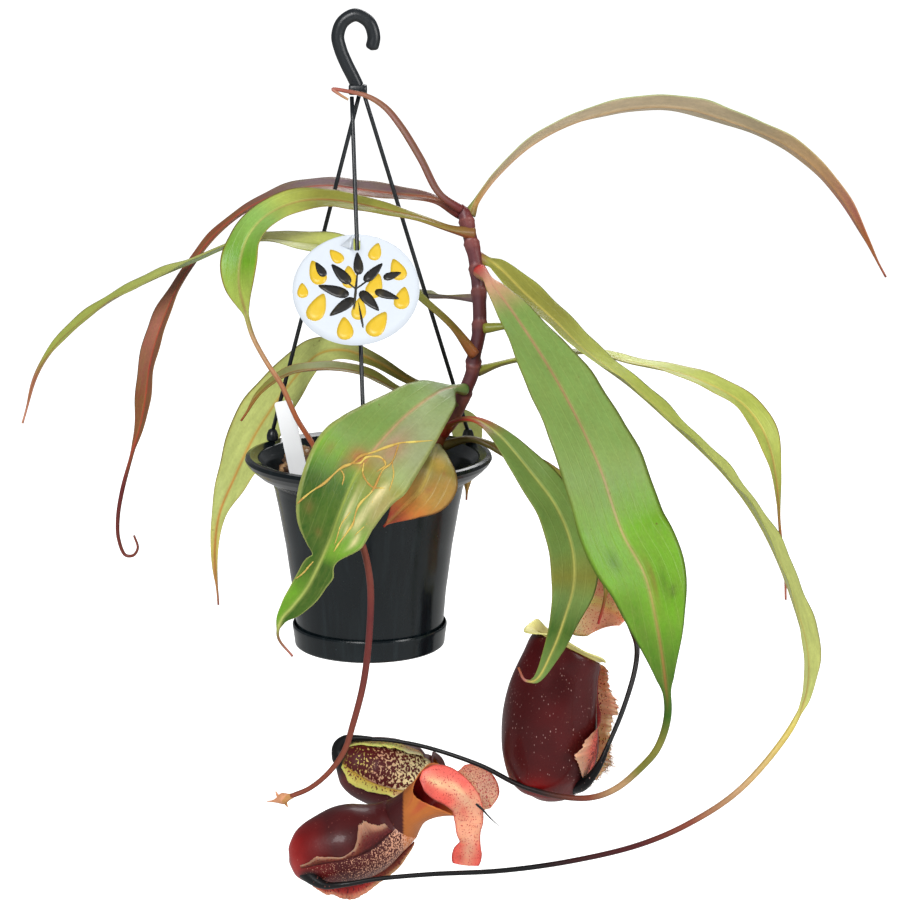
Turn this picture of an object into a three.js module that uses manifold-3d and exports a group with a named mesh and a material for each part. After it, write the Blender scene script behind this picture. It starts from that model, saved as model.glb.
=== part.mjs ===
// A pitcher plant in a black hanging pot: a vine with long strap leaves whose tendrils carry
// three pitchers below the pot. Millimetres, +Z up, the viewer looks along +Y.
// The origin is the inside top of the hook, where the whole thing hangs.

import * as THREE from 'three';
import { mergeVertices } from 'three/addons/utils/BufferGeometryUtils.js';
import Module from 'manifold-3d';

const wasm = await Module();
wasm.setup();

// ---------- driving dimensions ----------

const GAP = 0.35;                 // clear space kept between touching pieces

// pot and saucer, turned about POT_X
const POT_X = 7;                  // the pot's axis lies this far right of the hook seat
const RIM_Z = -259;               // top of the rim
const RIM_RADIUS = 75;            // a 15 cm pot
const SAUCER_Z = -378.5;          // underside of the saucer
const SAUCER_RADIUS = 46.5;
const SAUCER_HEIGHT = 14;
const SAUCER_WALL = 1.2;
const SAUCER_FLOOR = 2;
const SOIL_Z = -277;              // level of the bark mix
const SOIL_FOOT_Z = -372.5;
const SOIL_CLEAR = 1.2;           // open space between the mix and the pot's wall
const SOIL_RINGS = [55, 44, 33, 22, 11];
const LUMP_HEIGHT = 1.6;
const LUMP_LENGTHS = [4.1, 3.7];  // of the two crossed waves on the mix

// hanger
const HOOK_BAR = 3.9;             // radius of the hook's bar
const STRAND_RADIUS = 1.25;
const CLIP_RADIUS = 70;           // where the three strands peg into the rim
const CLIP_TURNS = [-90, 150, 30];            // degrees about the pot's axis
const PEG_RADIUS = 1.7;
const STRAND_TOP_Z = -43.5;
const HOOK_BLOCK = { size: [11, 9, 6], place: [2, 0, -39.5] };

// round tag and stake label
const TAG_RADIUS = 37;
const TAG_THICK = 0.8;
const TAG_SLOT = [4.2, 6, 14];    // where the strand comes through
const TAG_SLIT = [0.8, 6, 14];    // the cut beside the slot
const STAKE = { width: 11, thick: 0.9, length: 82, lean: 0.2, place: [-34.5, -31, -261] };

// stem
const STEM_RADIUS = 4.2;
const SCAR_HEIGHTS = [-238, -222, -203, -180, -160, -146, -131, -118];
const SCAR_SWELL = 0.7;           // how far the stem swells at a leaf scar
const SCAR_SPREAD = 2.5;

// blades and tendrils
const BLADE_HALF_THICK = 0.36;
const ROD_FLAT = 0.87;            // side reach of a six-sided rod over its radius
const SPAN_STEPS = 2;             // rings between two neighbouring rib points
const TENDRIL_START = 0.025;      // part of a span left open between a leaf and its tendril's node

// ---------- plain helpers ----------

const vec = ([x, y, z]) => new THREE.Vector3(x, y, z);
const mix = (a, b, t) => a + (b - a) * t;
const clamp01 = (t) => Math.min(1, Math.max(0, t));
const polar = (radius, degrees, z) => [
  POT_X + radius * Math.cos(degrees * Math.PI / 180),
  radius * Math.sin(degrees * Math.PI / 180),
  z,
];

// Six times the signed volume of an indexed mesh; negative when its faces point in.
function signedVolume(points, faces) {
  let sum = 0;
  for (let i = 0; i < faces.length; i += 3) {
    const [a, b, c] = [points[faces[i]], points[faces[i + 1]], points[faces[i + 2]]];
    sum += a.dot(b.clone().cross(c));
  }
  return sum;
}

// Rings of equal count joined in order. An open loft gets a fan at each end; a looped one
// joins its last ring to its first. The second half of each ring is split the other way, so
// that the two faces of a thin waved blade are triangulated alike.
function loft(rings, looped = false) {
  const count = rings[0].length;
  const points = rings.flat().map((p) => (p.isVector3 ? p : vec(p)));
  const faces = [];
  const bands = looped ? rings.length : rings.length - 1;
  for (let k = 0; k < bands; k++) {
    const low = k * count;
    const high = ((k + 1) % rings.length) * count;
    for (let j = 0; j < count; j++) {
      const n = (j + 1) % count;
      if (j < count / 2) {
        faces.push(low + j, low + n, high + n, low + j, high + n, high + j);
      } else {
        faces.push(low + j, low + n, high + j, low + n, high + n, high + j);
      }
    }
  }
  if (!looped) {
    for (const [ring, turn] of [[0, 1], [rings.length - 1, 0]]) {
      const centre = new THREE.Vector3();
      for (let j = 0; j < count; j++) centre.add(points[ring * count + j]);
      points.push(centre.divideScalar(count));
      for (let j = 0; j < count; j++) {
        const edge = [ring * count + j, ring * count + (j + 1) % count];
        faces.push(points.length - 1, edge[turn], edge[1 - turn]);
      }
    }
  }
  if (signedVolume(points, faces) < 0) faces.reverse();
  const geometry = new THREE.BufferGeometry();
  geometry.setAttribute('position', new THREE.Float32BufferAttribute(points.flatMap((p) => p.toArray()), 3));
  geometry.setIndex(faces);
  return geometry;
}

function solid(geometry) {
  const bare = geometry.clone();
  for (const name of Object.keys(bare.attributes)) {
    if (name !== 'position') bare.deleteAttribute(name);
  }
  const merged = mergeVertices(bare, 1e-4);
  return new wasm.Manifold(new wasm.Mesh({
    numProp: 3,
    vertProperties: new Float32Array(merged.attributes.position.array),
    triVerts: new Uint32Array(merged.index.array),
  }));
}

function geometryOf(manifold) {
  const mesh = manifold.getMesh();
  const geometry = new THREE.BufferGeometry();
  geometry.setAttribute('position', new THREE.BufferAttribute(new Float32Array(mesh.vertProperties), 3));
  geometry.setIndex(new THREE.BufferAttribute(new Uint32Array(mesh.triVerts), 1));
  return geometry;
}

// The largest connected body of a cut piece; slivers that a cut leaves are dropped.
function mainBody(manifold) {
  return manifold.decompose().reduce((best, one) => (one.volume() > best.volume() ? one : best));
}

function cut(geometry, tools) {
  let body = solid(geometry);
  for (const tool of tools) body = body.subtract(tool);
  return geometryOf(mainBody(body));
}

// A round section swept along a curve through points, with a radius for any place t in 0..1.
function rod(points, radiusAt, sides = 6, stepsPerSpan = SPAN_STEPS) {
  const curve = new THREE.CatmullRomCurve3(points.map(vec), false, 'centripetal');
  const total = (points.length - 1) * stepsPerSpan;
  const frames = curve.computeFrenetFrames(total, false);
  const rings = [];
  for (let k = 0; k <= total; k++) {
    const t = k / total;
    const centre = curve.getPointAt(t);
    const radius = radiusAt(t, centre);
    rings.push(Array.from({ length: sides }, (_, j) => {
      const angle = 2 * Math.PI * j / sides;
      return centre.clone()
        .addScaledVector(frames.normals[k], radius * Math.cos(angle))
        .addScaledVector(frames.binormals[k], radius * Math.sin(angle));
    }));
  }
  return loft(rings);
}

// A turned piece about the pot's axis from a closed [radius, z] profile.
function turned(profile, segments = 36) {
  const closed = [...profile, profile[0]].map(([r, z]) => new THREE.Vector2(r, z));
  const lathe = new THREE.LatheGeometry(closed, segments);
  lathe.rotateX(Math.PI / 2);
  lathe.translate(POT_X, 0, 0);
  return lathe;
}

// ---------- leaves ----------

// A leaf is one body from petiole foot to tendril tip along its rib points.
//   half    half the blade's width at each rib point; 0, or past the list, is petiole or tendril
//   face    directions that the upper face looks in, spread evenly over the blade
//   fold    degrees by which each half is raised from flat
//   rods    radius of the petiole at its foot and of the tendril at its tip
//   tendril  rib point where a tendril that carries something becomes a node of its own
const LEAVES = {
  leaf_01_rolled_young: {
    rib: [[63, 1, -111], [50, 0, -101], [39, -4, -80], [27, -8, -60], [18, -11, -49], [7, -14, -42],
      [-5, -16, -39], [-12, -17, -38], [-8, -18, -41], [-3, -18, -44]],
    half: [0, 2.8, 3.4, 3.2, 2.8, 2], face: [[0, -1, 0.4]], fold: 30, rods: [2.6, 0.7], color: 0x6e3a30,
  },
  leaf_02_right_arch: {
    rib: [[68, 4, -114], [72, 6, -105], [84, 8, -90], [103, 12, -72], [125, 16, -59], [152, 20, -51],
      [179, 24, -48], [201, 26, -50], [218, 28, -55], [238, 30, -62], [258, 32, -71], [277, 34, -85],
      [296, 36, -106], [310, 38, -131], [324, 40, -157]],
    half: [0, 2.5, 6, 10, 14, 16, 17, 17, 16, 15, 13, 10, 7, 3], fold: 12, rods: [3, 0.7],
    face: [[-0.3, 0.4, 0.9], [0, 0.5, 0.9], [0.3, 0.4, 0.9]], color: 0x8a7440,
  },
  leaf_03_left_red: {
    rib: [[62, 4, -118], [46, 13, -112], [26, 20, -107], [6, 23, -105], [-16, 26, -102], [-34, 26, -105], [-54, 26, -113],
      [-72, 24, -125], [-87, 22, -138], [-101, 20, -151], [-111, 18, -165], [-120, 16, -186],
      [-126, 14, -207], [-129, 12, -228], [-133, 10, -247], [-138, 9, -262], [-144, 8, -283],
      [-147, 6, -300], [-147, 6, -314], [-143, 5, -324], [-138, 4, -324], [-135, 3, -319], [-137, 2, -311]],
    half: [0, 4.5, 7, 8.5, 9.5, 9.5, 9, 9, 10, 12, 14, 15, 13.5, 10, 5, 2], fold: 12, rods: [3.2, 0.7],
    face: [[0, -0.6, 1], [-0.3, -0.2, 1], [-0.8, -0.4, 0.5], [-0.8, -0.7, 0.2]], color: 0x6a3430,
  },
  leaf_04_left_green: {
    rib: [[70, 1, -125], [56, -6, -121], [39, -9, -115], [15, -9, -109], [0, -8, -106], [-15, -7, -104],
      [-33, -7, -105], [-51, -12, -112], [-62, -20, -123], [-67, -24, -137], [-68, -26, -152], [-64, -28, -169],
      [-60, -31, -182], [-52, -36, -196], [-43, -44, -208], [-33, -58, -226], [-23, -74, -238],
      [-13, -90, -253], [-2, -94, -275], [6, -92, -294], [10, -90, -315], [10, -88, -339], [6, -84, -377],
      [-1, -80, -406], [-6, -78, -422], [-15, -76, -436], [-27, -74, -447], [-39, -72, -453]],
    half: [0, 2.8, 4, 6, 8, 9, 10, 11, 12, 12, 9, 2], fold: 10, rods: [3, 1.4], tendril: 12,
    face: [[0, -0.5, 0.9], [-0.2, -0.5, 0.9], [-0.5, -0.8, 0.5], [0.2, -1, 0]], color: 0x7d9140,
  },
  leaf_05_left_pale: {
    rib: [[71, -1, -198], [58, -6, -180], [41, -8, -164], [27, -8, -151], [9, -6, -139], [-12, -3, -133],
      [-33, -3, -130], [-55, -2, -128], [-75, 0, -132], [-95, 4, -141], [-122, 8, -153], [-149, 10, -167],
      [-175, 10, -187], [-187, 9, -200], [-195, 7, -214], [-203, 2, -241]],
    half: [0, 2.6, 3, 4, 8, 11, 12, 11, 10, 10, 11, 11, 9, 6, 3], fold: 10, rods: [2.8, 0.7],
    face: [[-0.3, -0.5, 0.9], [0, -0.6, 0.9], [0, 0, 1], [-0.4, -0.2, 0.9], [-0.6, -0.4, 0.8]], color: 0x93aa58,
  },
  leaf_06_back_left: {
    rib: [[65, 6, -227], [50, 14, -224], [32, 24, -219], [10, 34, -208], [-9, 42, -203], [-24, 48, -206],
      [-37, 57, -219], [-55, 64, -243], [-68, 68, -264], [-80, 68, -289], [-90, 65, -313], [-93, 61, -338],
      [-91, 57, -370]],
    half: [0, 3, 3.5, 4.5, 7, 11, 16, 20, 19, 13, 5.5, 3], fold: 10, rods: [2.8, 0.7],
    face: [[-0.2, -0.4, 0.9], [-0.7, -0.6, 0.5], [-0.5, -0.8, 0.3], [-0.5, -0.8, 0]], color: 0xa3b65c,
  },
  leaf_07_olive_arch: {
    rib: [[62, 0, -229], [44, 2, -229], [24, 5, -221], [5, 8, -212], [-10, 9, -209], [-24, 10, -209],
      [-41, 12, -212], [-58, 12, -223], [-71, 10, -241]],
    half: [0, 2.6, 4, 6, 7, 7, 6, 3.5], face: [[0, -0.25, 1]], fold: 20, rods: [2.4, 0.7], color: 0x7c7a3e,
  },
  leaf_08_back_short: {
    rib: [[76, 5, -165], [59, 14, -165], [43, 34, -168], [28, 60, -169], [15, 90, -173], [4, 120, -181]],
    half: [0, 2.6, 8, 13, 9], face: [[0.1, 0.1, 1]], fold: 12, rods: [2.6, 0.7], color: 0x87984a,
  },
  leaf_09_front_scarred: {
    rib: [[65, -3, -219], [56, -16, -216], [47, -36, -216], [29, -68, -224], [12, -94, -238], [3, -104, -249],
      [-6, -112, -269], [-11, -113, -283], [-16, -112, -295], [-20, -110, -304], [-26, -106, -316],
      [-34, -103, -327], [-41, -100, -336], [-43, -98, -347], [-35, -96, -359]],
    half: [0, 5, 15, 24, 29, 30, 27, 20, 9, 9, 9, 7, 3], fold: 6, rods: [2.8, 0.7],
    face: [[0.4, -0.4, 0.9], [0.4, -0.8, 0.5], [0.1, -1, 0.2], [0, -1, 0]], color: 0x5f8f3e,
  },
  leaf_10_old_yellow: {
    rib: [[49, -4, -255], [49, -38, -247], [48, -68, -244], [45, -84, -250], [40, -88, -261], [31, -88, -271],
      [18, -86, -284]],
    half: [0, 2.4, 7, 13, 15, 10], face: [[0.2, -0.6, 0.8], [0.5, -0.9, 0.4]], fold: 8, rods: [2.2, 0.7],
    color: 0xa9843a,
  },
  leaf_11_right_front: {
    rib: [[74, -2, -147], [81, -14, -153], [100, -34, -177], [122, -56, -210], [142, -74, -249],
      [156, -84, -288], [169, -88, -312], [176, -90, -339], [182, -90, -375], [184, -88, -397],
      [179, -80, -420], [169, -72, -436], [155, -62, -452], [141, -54, -460], [123, -46, -462],
      [99, -34, -459], [75, -20, -451], [38, -6, -443], [13, 0, -441], [-5, 4, -443]],
    half: [0, 5.5, 15, 24, 28, 28, 25, 17, 5], fold: 8, rods: [3.4, 1.1], tendril: 9,
    face: [[0.5, -0.8, 0.5], [0.5, -0.8, 0.4], [0.2, -1, 0.2], [-0.3, -1, 0]], color: 0x66a044,
  },
  leaf_12_far_right: {
    rib: [[73, 4, -140], [84, 4, -145], [101, 0, -161], [119, -4, -177], [138, -8, -195], [165, -10, -215],
      [192, -12, -239], [221, -13, -267], [240, -13, -292], [255, -12, -320], [267, -12, -351], [274.5, -12, -377],
      [276, -13, -392], [274, -14, -410], [265, -18, -429], [234, -30, -463], [203, -40, -481],
      [172, -48, -492], [129, -58, -499], [87, -66, -502], [44, -72, -502], [11, -75, -504], [-8, -76, -507],
      [-20, -71, -510], [-27, -65, -507]],
    half: [0, 5, 10, 13, 14, 14, 14, 15, 17, 19, 19, 18, 12, 5], fold: 12, rods: [3.2, 1.1], tendril: 14,
    face: [[0.5, -0.7, 0.6], [0.65, -0.15, 0.75], [0.66, -0.05, 0.74], [0.75, -0.3, 0.6], [0.7, -0.7, 0.2]],
    color: 0x8fa345,
  },
  leaf_13_right_hanging: {
    rib: [[73, 3, -209], [87, 8, -205], [99, 12, -203], [120, 16, -201], [143, 18, -200], [166, 18, -206],
      [193, 18, -212], [215, 18, -220], [234, 18, -231], [246, 18, -245], [253, 18, -261], [257, 18, -280],
      [259, 18, -297], [261, 18, -317], [264, 18, -337], [265, 18, -356]],
    half: [0, 2.5, 2.6, 4, 6, 8, 9, 10, 12, 12, 9, 5, 2], fold: 12, rods: [2.6, 0.7],
    face: [[0, 0, 1], [0.1, -0.1, 1], [0.5, -0.6, 0.7], [0.8, -0.6, 0.2]], color: 0x84a04c,
  },
  leaf_14_lower_right: {
    rib: [[53, -2, -246], [57, -12, -238], [64, -20, -234], [73, -30, -233], [84, -42, -238],
      [103, -54, -258], [119, -60, -279], [128, -64, -302], [129, -66, -324], [124, -66, -344],
      [117, -66, -364], [107, -64, -383], [101, -61, -384], [97, -58, -377]],
    half: [0, 2.4, 2.6, 3.4, 6, 11, 14, 15, 14, 9.5, 6, 2.5], fold: 8, rods: [2.6, 0.7],
    face: [[0.4, -0.7, 0.7], [0.4, -0.8, 0.4], [0.2, -1, 0], [0.4, -0.9, 0]], color: 0x4d7440,
  },
  leaf_15_behind_pot: {
    rib: [[59, 3, -234], [53, 18, -239], [51, 34, -241], [56, 50, -244], [63, 67, -251], [67, 84, -262], [68, 93, -282],
      [67, 94, -310]],
    half: [0, 2.5, 2.6, 6, 9, 10, 7], face: [[0, 0, 1], [0, 0.8, 0.6], [0, 1, 0]], fold: 8, rods: [2.4, 0.7],
    color: 0xa9b67c,
  },
  leaf_16_behind_front: {
    rib: [[77, -1, -182], [94, -6, -180], [113, -12, -187], [131, -22, -213], [144, -32, -244],
      [150, -40, -279], [153, -45, -308], [150, -48, -329], [148, -48, -341], [145, -47, -353]],
    half: [0, 2.6, 7, 12, 15, 13, 9, 3], fold: 10, rods: [2.5, 0.8],
    face: [[0.3, -0.4, 0.9], [0.6, -0.8, 0.4], [0.2, -1, 0]], color: 0x74894a,
  },
  leaf_17_low_right: {
    rib: [[51, 1, -255], [69, 3, -251], [91, 6, -261], [108, 8, -270], [126, 10, -286], [141, 12, -310],
      [154, 10, -338], [162, 4, -356], [168, -2, -369], [171, -8, -378], [170, -12, -391],
      [164, -24, -415], [158, -33, -435], [149, -36, -450], [140, -33, -461], [131, -26, -467]],
    half: [0, 2.6, 5, 9, 11, 11, 8, 3], fold: 10, rods: [2.6, 1.1], tendril: 8,
    face: [[0.5, -0.5, 0.8], [0.7, -0.6, 0.4], [0.3, -1, 0.1]], color: 0x6c6a3a,
  },
};

function faceAt(face, u) {
  const place = clamp01(u) * (face.length - 1);
  const low = Math.min(Math.floor(place), Math.max(0, face.length - 2));
  const high = Math.min(low + 1, face.length - 1);
  return vec(face[low]).normalize().lerp(vec(face[high]).normalize(), place - low).normalize();
}

// Half width at a rib place such as 3.5, eased between the two rib points beside it.
function halfAt(half, place) {
  const low = Math.floor(place);
  const ease = (1 - Math.cos(Math.PI * (place - low))) / 2;
  return mix(half[low] ?? 0, half[low + 1] ?? 0, ease);
}

// The leaf from one rib point to another. `clearance` swells it, for cutting a neighbour clear of it.
function leaf(spec, clearance = 0, first = 0, last = spec.rib.length - 1) {
  const curve = new THREE.CatmullRomCurve3(spec.rib.map(vec), false, 'centripetal');
  const spans = spec.rib.length - 1;
  const [foot, tip] = spec.rods;
  const rings = [];
  for (let k = first * SPAN_STEPS; k <= last * SPAN_STEPS; k++) {
    const place = k / SPAN_STEPS + (k > 0 && k === first * SPAN_STEPS ? TENDRIL_START : 0);
    const centre = curve.getPoint(place / spans);
    const along = curve.getTangent(place / spans);
    const face = faceAt(spec.face, (place - 1) / (spec.half.length - 1));
    const side = along.clone().cross(face).normalize();
    const up = side.clone().cross(along).normalize();
    const rodRadius = mix(foot, tip, place / spans);
    const half = halfAt(spec.half, place);
    const spread = clamp01(half / (2 * rodRadius));
    const reach = Math.max(rodRadius * ROD_FLAT, half);
    const edge = mix(rodRadius / 2, BLADE_HALF_THICK, spread) + clearance;
    const ribTop = mix(rodRadius, 0.5, spread) + clearance;
    const ribBelow = mix(rodRadius, Math.max(0.9, 0.7 * rodRadius), spread) + clearance;
    const lift = reach * Math.tan(spec.fold * Math.PI / 180) * spread;
    const at = (across, above) => centre.clone().addScaledVector(side, across).addScaledVector(up, above);
    const far = reach + clearance;
    rings.push([at(-far, lift + edge), at(0, ribTop), at(far, lift + edge),
      at(far, lift - edge), at(0, -ribBelow), at(-far, lift - edge)]);
  }
  return loft(rings);
}

// ---------- stem ----------

const STEM_POINTS = [[49, 0, -251], [55, 0, -242], [61, 1, -232], [66, 2, -220], [70, 2, -209],
  [71, 2, -199], [74, 2, -184], [74, 2, -165], [73, 2, -152], [71, 2, -138], [68, 2, -126]];
const STEM_FOOT_Z = -283;
const STEM_TOP_Z = -113;

function stem(clearance = 0) {
  const points = [[48, -2, STEM_FOOT_Z - clearance], ...STEM_POINTS, [65, 2, STEM_TOP_Z + clearance]];
  const radiusAt = (t, centre) => {
    const scars = SCAR_HEIGHTS.reduce((sum, z) => sum + Math.exp(-(((centre.z - z) / SCAR_SPREAD) ** 2)), 0);
    const taper = t > 0.98 ? 0.6 : 1;
    return STEM_RADIUS * taper + SCAR_SWELL * scars + clearance;
  };
  return rod(points, radiusAt, 8, 3);
}

// ---------- pot, saucer and soil ----------

// Outer wall of the pot as [radius, z]: nearly straight low down, flaring to the rolled rim.
const POT_OUTER = [[42, -376], [44.5, -374.5], [47, -345], [51, -315], [55, -292], [60, -276], [64, -271],
  [70, -266], [73.5, -263.2], [RIM_RADIUS, -261.6], [74.4, -259.6], [72, RIM_Z]];
const POT_INNER = [[67, -260.6], [62.3, -266], [58.3, -276], [53.4, -292], [49.4, -315], [45.4, -345], [43, -373]];

function pegHoles() {
  return CLIP_TURNS.map((turn) => {
    const [x, y] = polar(CLIP_RADIUS, turn, 0);
    const hole = new THREE.CylinderGeometry(PEG_RADIUS + GAP, PEG_RADIUS + GAP, 30, 12);
    hole.rotateX(Math.PI / 2);
    hole.translate(x, y, RIM_Z);
    return solid(hole);
  });
}

function pot() {
  const shell = turned([[0, -376], ...POT_OUTER, ...POT_INNER, [0, -374]]);
  return cut(shell, pegHoles());
}

function saucer() {
  const floor = SAUCER_Z + SAUCER_FLOOR;
  const wall = SAUCER_RADIUS - SAUCER_WALL;
  const top = SAUCER_Z + SAUCER_HEIGHT;
  return turned([[0, SAUCER_Z], [SAUCER_RADIUS - 2, SAUCER_Z], [SAUCER_RADIUS - 0.6, SAUCER_Z + 1],
    [SAUCER_RADIUS + 1, top - 1], [SAUCER_RADIUS + 0.6, top], [wall + 1.3, top], [wall, floor], [0, floor]]);
}

// Bark mix filling the pot, with a lumpy top made of two crossed waves.
function soil(holes) {
  const segments = 24;
  const inner = POT_INNER.filter(([, z]) => z <= SOIL_Z);
  const ring = (radius, level) => Array.from({ length: segments }, (_, j) => {
    const angle = 2 * Math.PI * j / segments;
    const [x, y] = [radius * Math.cos(angle), radius * Math.sin(angle)];
    const lump = LUMP_HEIGHT * Math.sin(x / LUMP_LENGTHS[0] + 1) * Math.cos(y / LUMP_LENGTHS[1]);
    return [POT_X + x, y, level + (level > SOIL_Z - 3 ? lump : 0)];
  });
  const rings = inner.reverse().map(([r, z]) => ring(r - SOIL_CLEAR, Math.max(z, SOIL_FOOT_Z)));
  for (const radius of SOIL_RINGS) rings.push(ring(radius, SOIL_Z));
  return cut(loft(rings), holes);
}

// ---------- hanger ----------

function hook() {
  const bar = [[10, 0, -16.5], [11.6, 0, -8.5], [8.6, 0, 0], [1, 0, 4.1], [-6.6, 0, 0], [-9.6, 0, -8],
    [-8.2, 0, -15.5], [-4.8, 0, -24], [-0.8, 0, -32], [1.8, 0, -37.5]];
  const bend = rod(bar, (t) => (t < 0.02 ? HOOK_BAR * 0.7 : HOOK_BAR), 8, 3);
  const base = new THREE.BoxGeometry(...HOOK_BLOCK.size);
  base.translate(...HOOK_BLOCK.place);
  return geometryOf(solid(bend).add(solid(base)));
}

// The strands leave the hook's base side by side and peg through the rim.
const STRAND_TOPS = [[-1.5, -3, STRAND_TOP_Z], [2.5, 3, STRAND_TOP_Z], [6, 0, STRAND_TOP_Z]];

// The clip at a strand's foot as [radius, height over the rim]: a barbed peg under a knob.
const CLIP_PROFILE = [[0, -16], [1.4, -16], [2.7, -11], [PEG_RADIUS, -10.5], [PEG_RADIUS, 0.4],
  [3.4, 0.5], [3.6, 4], [2.4, 7.5], [0, 8]];

function strand(index) {
  const top = STRAND_TOPS[index];
  const foot = polar(CLIP_RADIUS, CLIP_TURNS[index], RIM_Z + 6);
  const line = rod([top, foot], () => STRAND_RADIUS, 8, 1);
  const [x, y] = polar(CLIP_RADIUS, CLIP_TURNS[index], 0);
  const clip = new THREE.LatheGeometry(CLIP_PROFILE.map(([r, z]) => new THREE.Vector2(r, z)), 8);
  clip.rotateX(Math.PI / 2);
  clip.translate(x, y, RIM_Z);
  return geometryOf(solid(line).add(solid(clip)));
}

// ---------- tag and stake label ----------

// The tag leans on the front strand, which comes through its slot near the top.
const TAG_CENTRE = [1.8, -44.4, -155];
const TAG_LEAN = 25;              // degrees back from upright

function tag() {
  const disc = new THREE.CylinderGeometry(TAG_RADIUS, TAG_RADIUS, TAG_THICK, 48);
  const slot = new THREE.BoxGeometry(...TAG_SLOT);
  slot.translate(0, 0, TAG_RADIUS - 7);
  const slit = new THREE.BoxGeometry(...TAG_SLIT);
  slit.rotateY(-0.9);
  slit.translate(-6, 0, TAG_RADIUS - 4);
  const body = solid(disc).subtract(solid(slot)).subtract(solid(slit));
  const piece = geometryOf(mainBody(body));
  piece.rotateX(-TAG_LEAN * Math.PI / 180);
  piece.translate(...TAG_CENTRE);
  return piece;
}

// A plain strip pushed into the bark mix, leaning a little to the right.
function stake(clearance = 0) {
  const grown = 2 * clearance;
  const strip = new THREE.BoxGeometry(STAKE.width + grown, STAKE.thick + grown, STAKE.length);
  strip.rotateY(-STAKE.lean);
  strip.translate(...STAKE.place);
  return strip;
}

// ---------- pitchers ----------

// A pitcher is a hollow cup along a bent axis from its closed end to its mouth.
//   axis     points from the closed end to the mouth
//   radii    outer radius at each of them
//   mouth    direction that the mouth opens in
//   front    direction from the axis to the side that carries the two wings
//   wing     how far each wing is turned from the front, in degrees, and its width
//   flare    how far the collar spreads outward, over its `rise` past the mouth
const PITCHER_SIDES = 16;
const PITCHERS = {
  pitcher_1: {
    axis: [[119, -15, -475], [119, -15, -472.5], [119, -15, -467], [118, -15, -457], [118, -15, -442],
      [118, -15, -425], [120, -15, -406], [124, -15, -389], [128, -15, -377]],
    radii: [1.6, 11, 19, 26, 29.6, 29.6, 27.6, 24.5, 22], mouth: [0.45, 0.22, 0.88], front: [1, 0.3, 0.1],
    wing: { turn: 34, width: 11 }, flare: 2.6, rise: 1.6, color: 0x4a1818,
  },
  pitcher_2: {
    axis: [[-14, 8, -454], [-11.5, 8, -455], [-6, 9, -457.5], [4, 12, -463], [18, 14, -468], [32, 14, -471],
      [42, 14, -472], [50, 14, -471]],
    radii: [1.6, 8, 14.5, 19, 21, 19.5, 16.5, 14.5], mouth: [0.9, -0.1, 0.4], front: [0.1, -0.8, 0.6],
    wing: { turn: 42, width: 7 }, flare: 2.4, rise: 1.6, color: 0x5a2424,
  },
  pitcher_3: {
    axis: [[-41, -52, -502], [-39, -52, -501.5], [-33, -52, -499.5], [-23, -51, -496], [-8, -49, -492],
      [7, -47, -488], [19, -46, -482], [28, -46, -476]],
    radii: [1.6, 9, 16, 20.5, 24, 22, 17, 13.5], mouth: [0.72, -0.27, 0.63], front: [0.1, -0.7, -0.7],
    wing: { turn: 45, width: 8 }, flare: 2.5, rise: 22, color: 0x7c1f1c,
  },
};
const COLLAR_SIDES = 20;
const COLLAR_WAVE = 0.5;
const CUP_WALL = 1.2;
const CUP_FLOOR = 3;              // rings of the cup left solid at its closed end
const WING_FROM = 6;              // first ring of the cup that carries a wing
const WING_WAVE = 9;              // degrees that a wing sways either way
const WING_RIPPLE = 0.8;

// Rings across the cup's bent axis, each [centre, across, upward, radius], `steps` to a span.
function cupStations(spec, steps = 2) {
  const curve = new THREE.CatmullRomCurve3(spec.axis.map(vec), false, 'centripetal');
  const spans = spec.axis.length - 1;
  const mouth = vec(spec.mouth).normalize();
  const stations = [];
  for (let k = 0; k <= spans * steps; k++) {
    const place = k / steps;
    const low = Math.min(Math.floor(place), spans - 1);
    const turn = clamp01((place - spans + 2) / 2) ** 2;
    const normal = curve.getTangent(place / spans).lerp(mouth, turn).normalize();
    const toFront = vec(spec.front).addScaledVector(normal, -vec(spec.front).dot(normal)).normalize();
    const ease = (1 - Math.cos(Math.PI * (place - low))) / 2;
    stations.push({
      centre: curve.getPoint(place / spans),
      normal,
      toFront,
      toSide: normal.clone().cross(toFront),
      radius: mix(spec.radii[low], spec.radii[low + 1], mix(place - low, ease, 0.3)),
    });
  }
  return stations;
}

function around(station, degrees, radius) {
  const angle = degrees * Math.PI / 180;
  return station.centre.clone()
    .addScaledVector(station.toFront, radius * Math.cos(angle))
    .addScaledVector(station.toSide, radius * Math.sin(angle));
}

function cupRing(station, inset) {
  return Array.from({ length: PITCHER_SIDES }, (_, j) => around(station, 360 * j / PITCHER_SIDES,
    station.radius - inset));
}

function pitcherCup(spec, clearance = 0) {
  const stations = cupStations(spec);
  const outer = stations.map((s) => cupRing(s, -clearance));
  if (clearance > 0) return solid(loft(outer));
  const deep = stations.filter((s, k) => k > CUP_FLOOR).reverse();
  return loft([...outer, ...deep.map((s) => cupRing(s, CUP_WALL))]);
}

// The collar round the mouth: it flares outward by `flare` over a rise along the mouth's axis.
function pitcherCollar(spec) {
  const last = cupStations(spec).at(-1);
  const { flare, rise } = spec;
  const section = [[-CUP_WALL, GAP], [0.2, GAP], [0.4 * flare, 0.5 * rise], [flare, rise], [flare - 0.6, rise + 1],
    [0.4 * flare - 1.2, 0.5 * rise + 0.8]];
  const rings = Array.from({ length: COLLAR_SIDES }, (_, j) => {
    const degrees = 360 * j / COLLAR_SIDES;
    const wave = COLLAR_WAVE * Math.sin(5 * degrees * Math.PI / 180);
    return section.map(([out, up]) => around(last, degrees, last.radius + out)
      .addScaledVector(last.normal, up + (out > flare / 2 ? wave : 0)));
  });
  return loft(rings, true);
}

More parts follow.
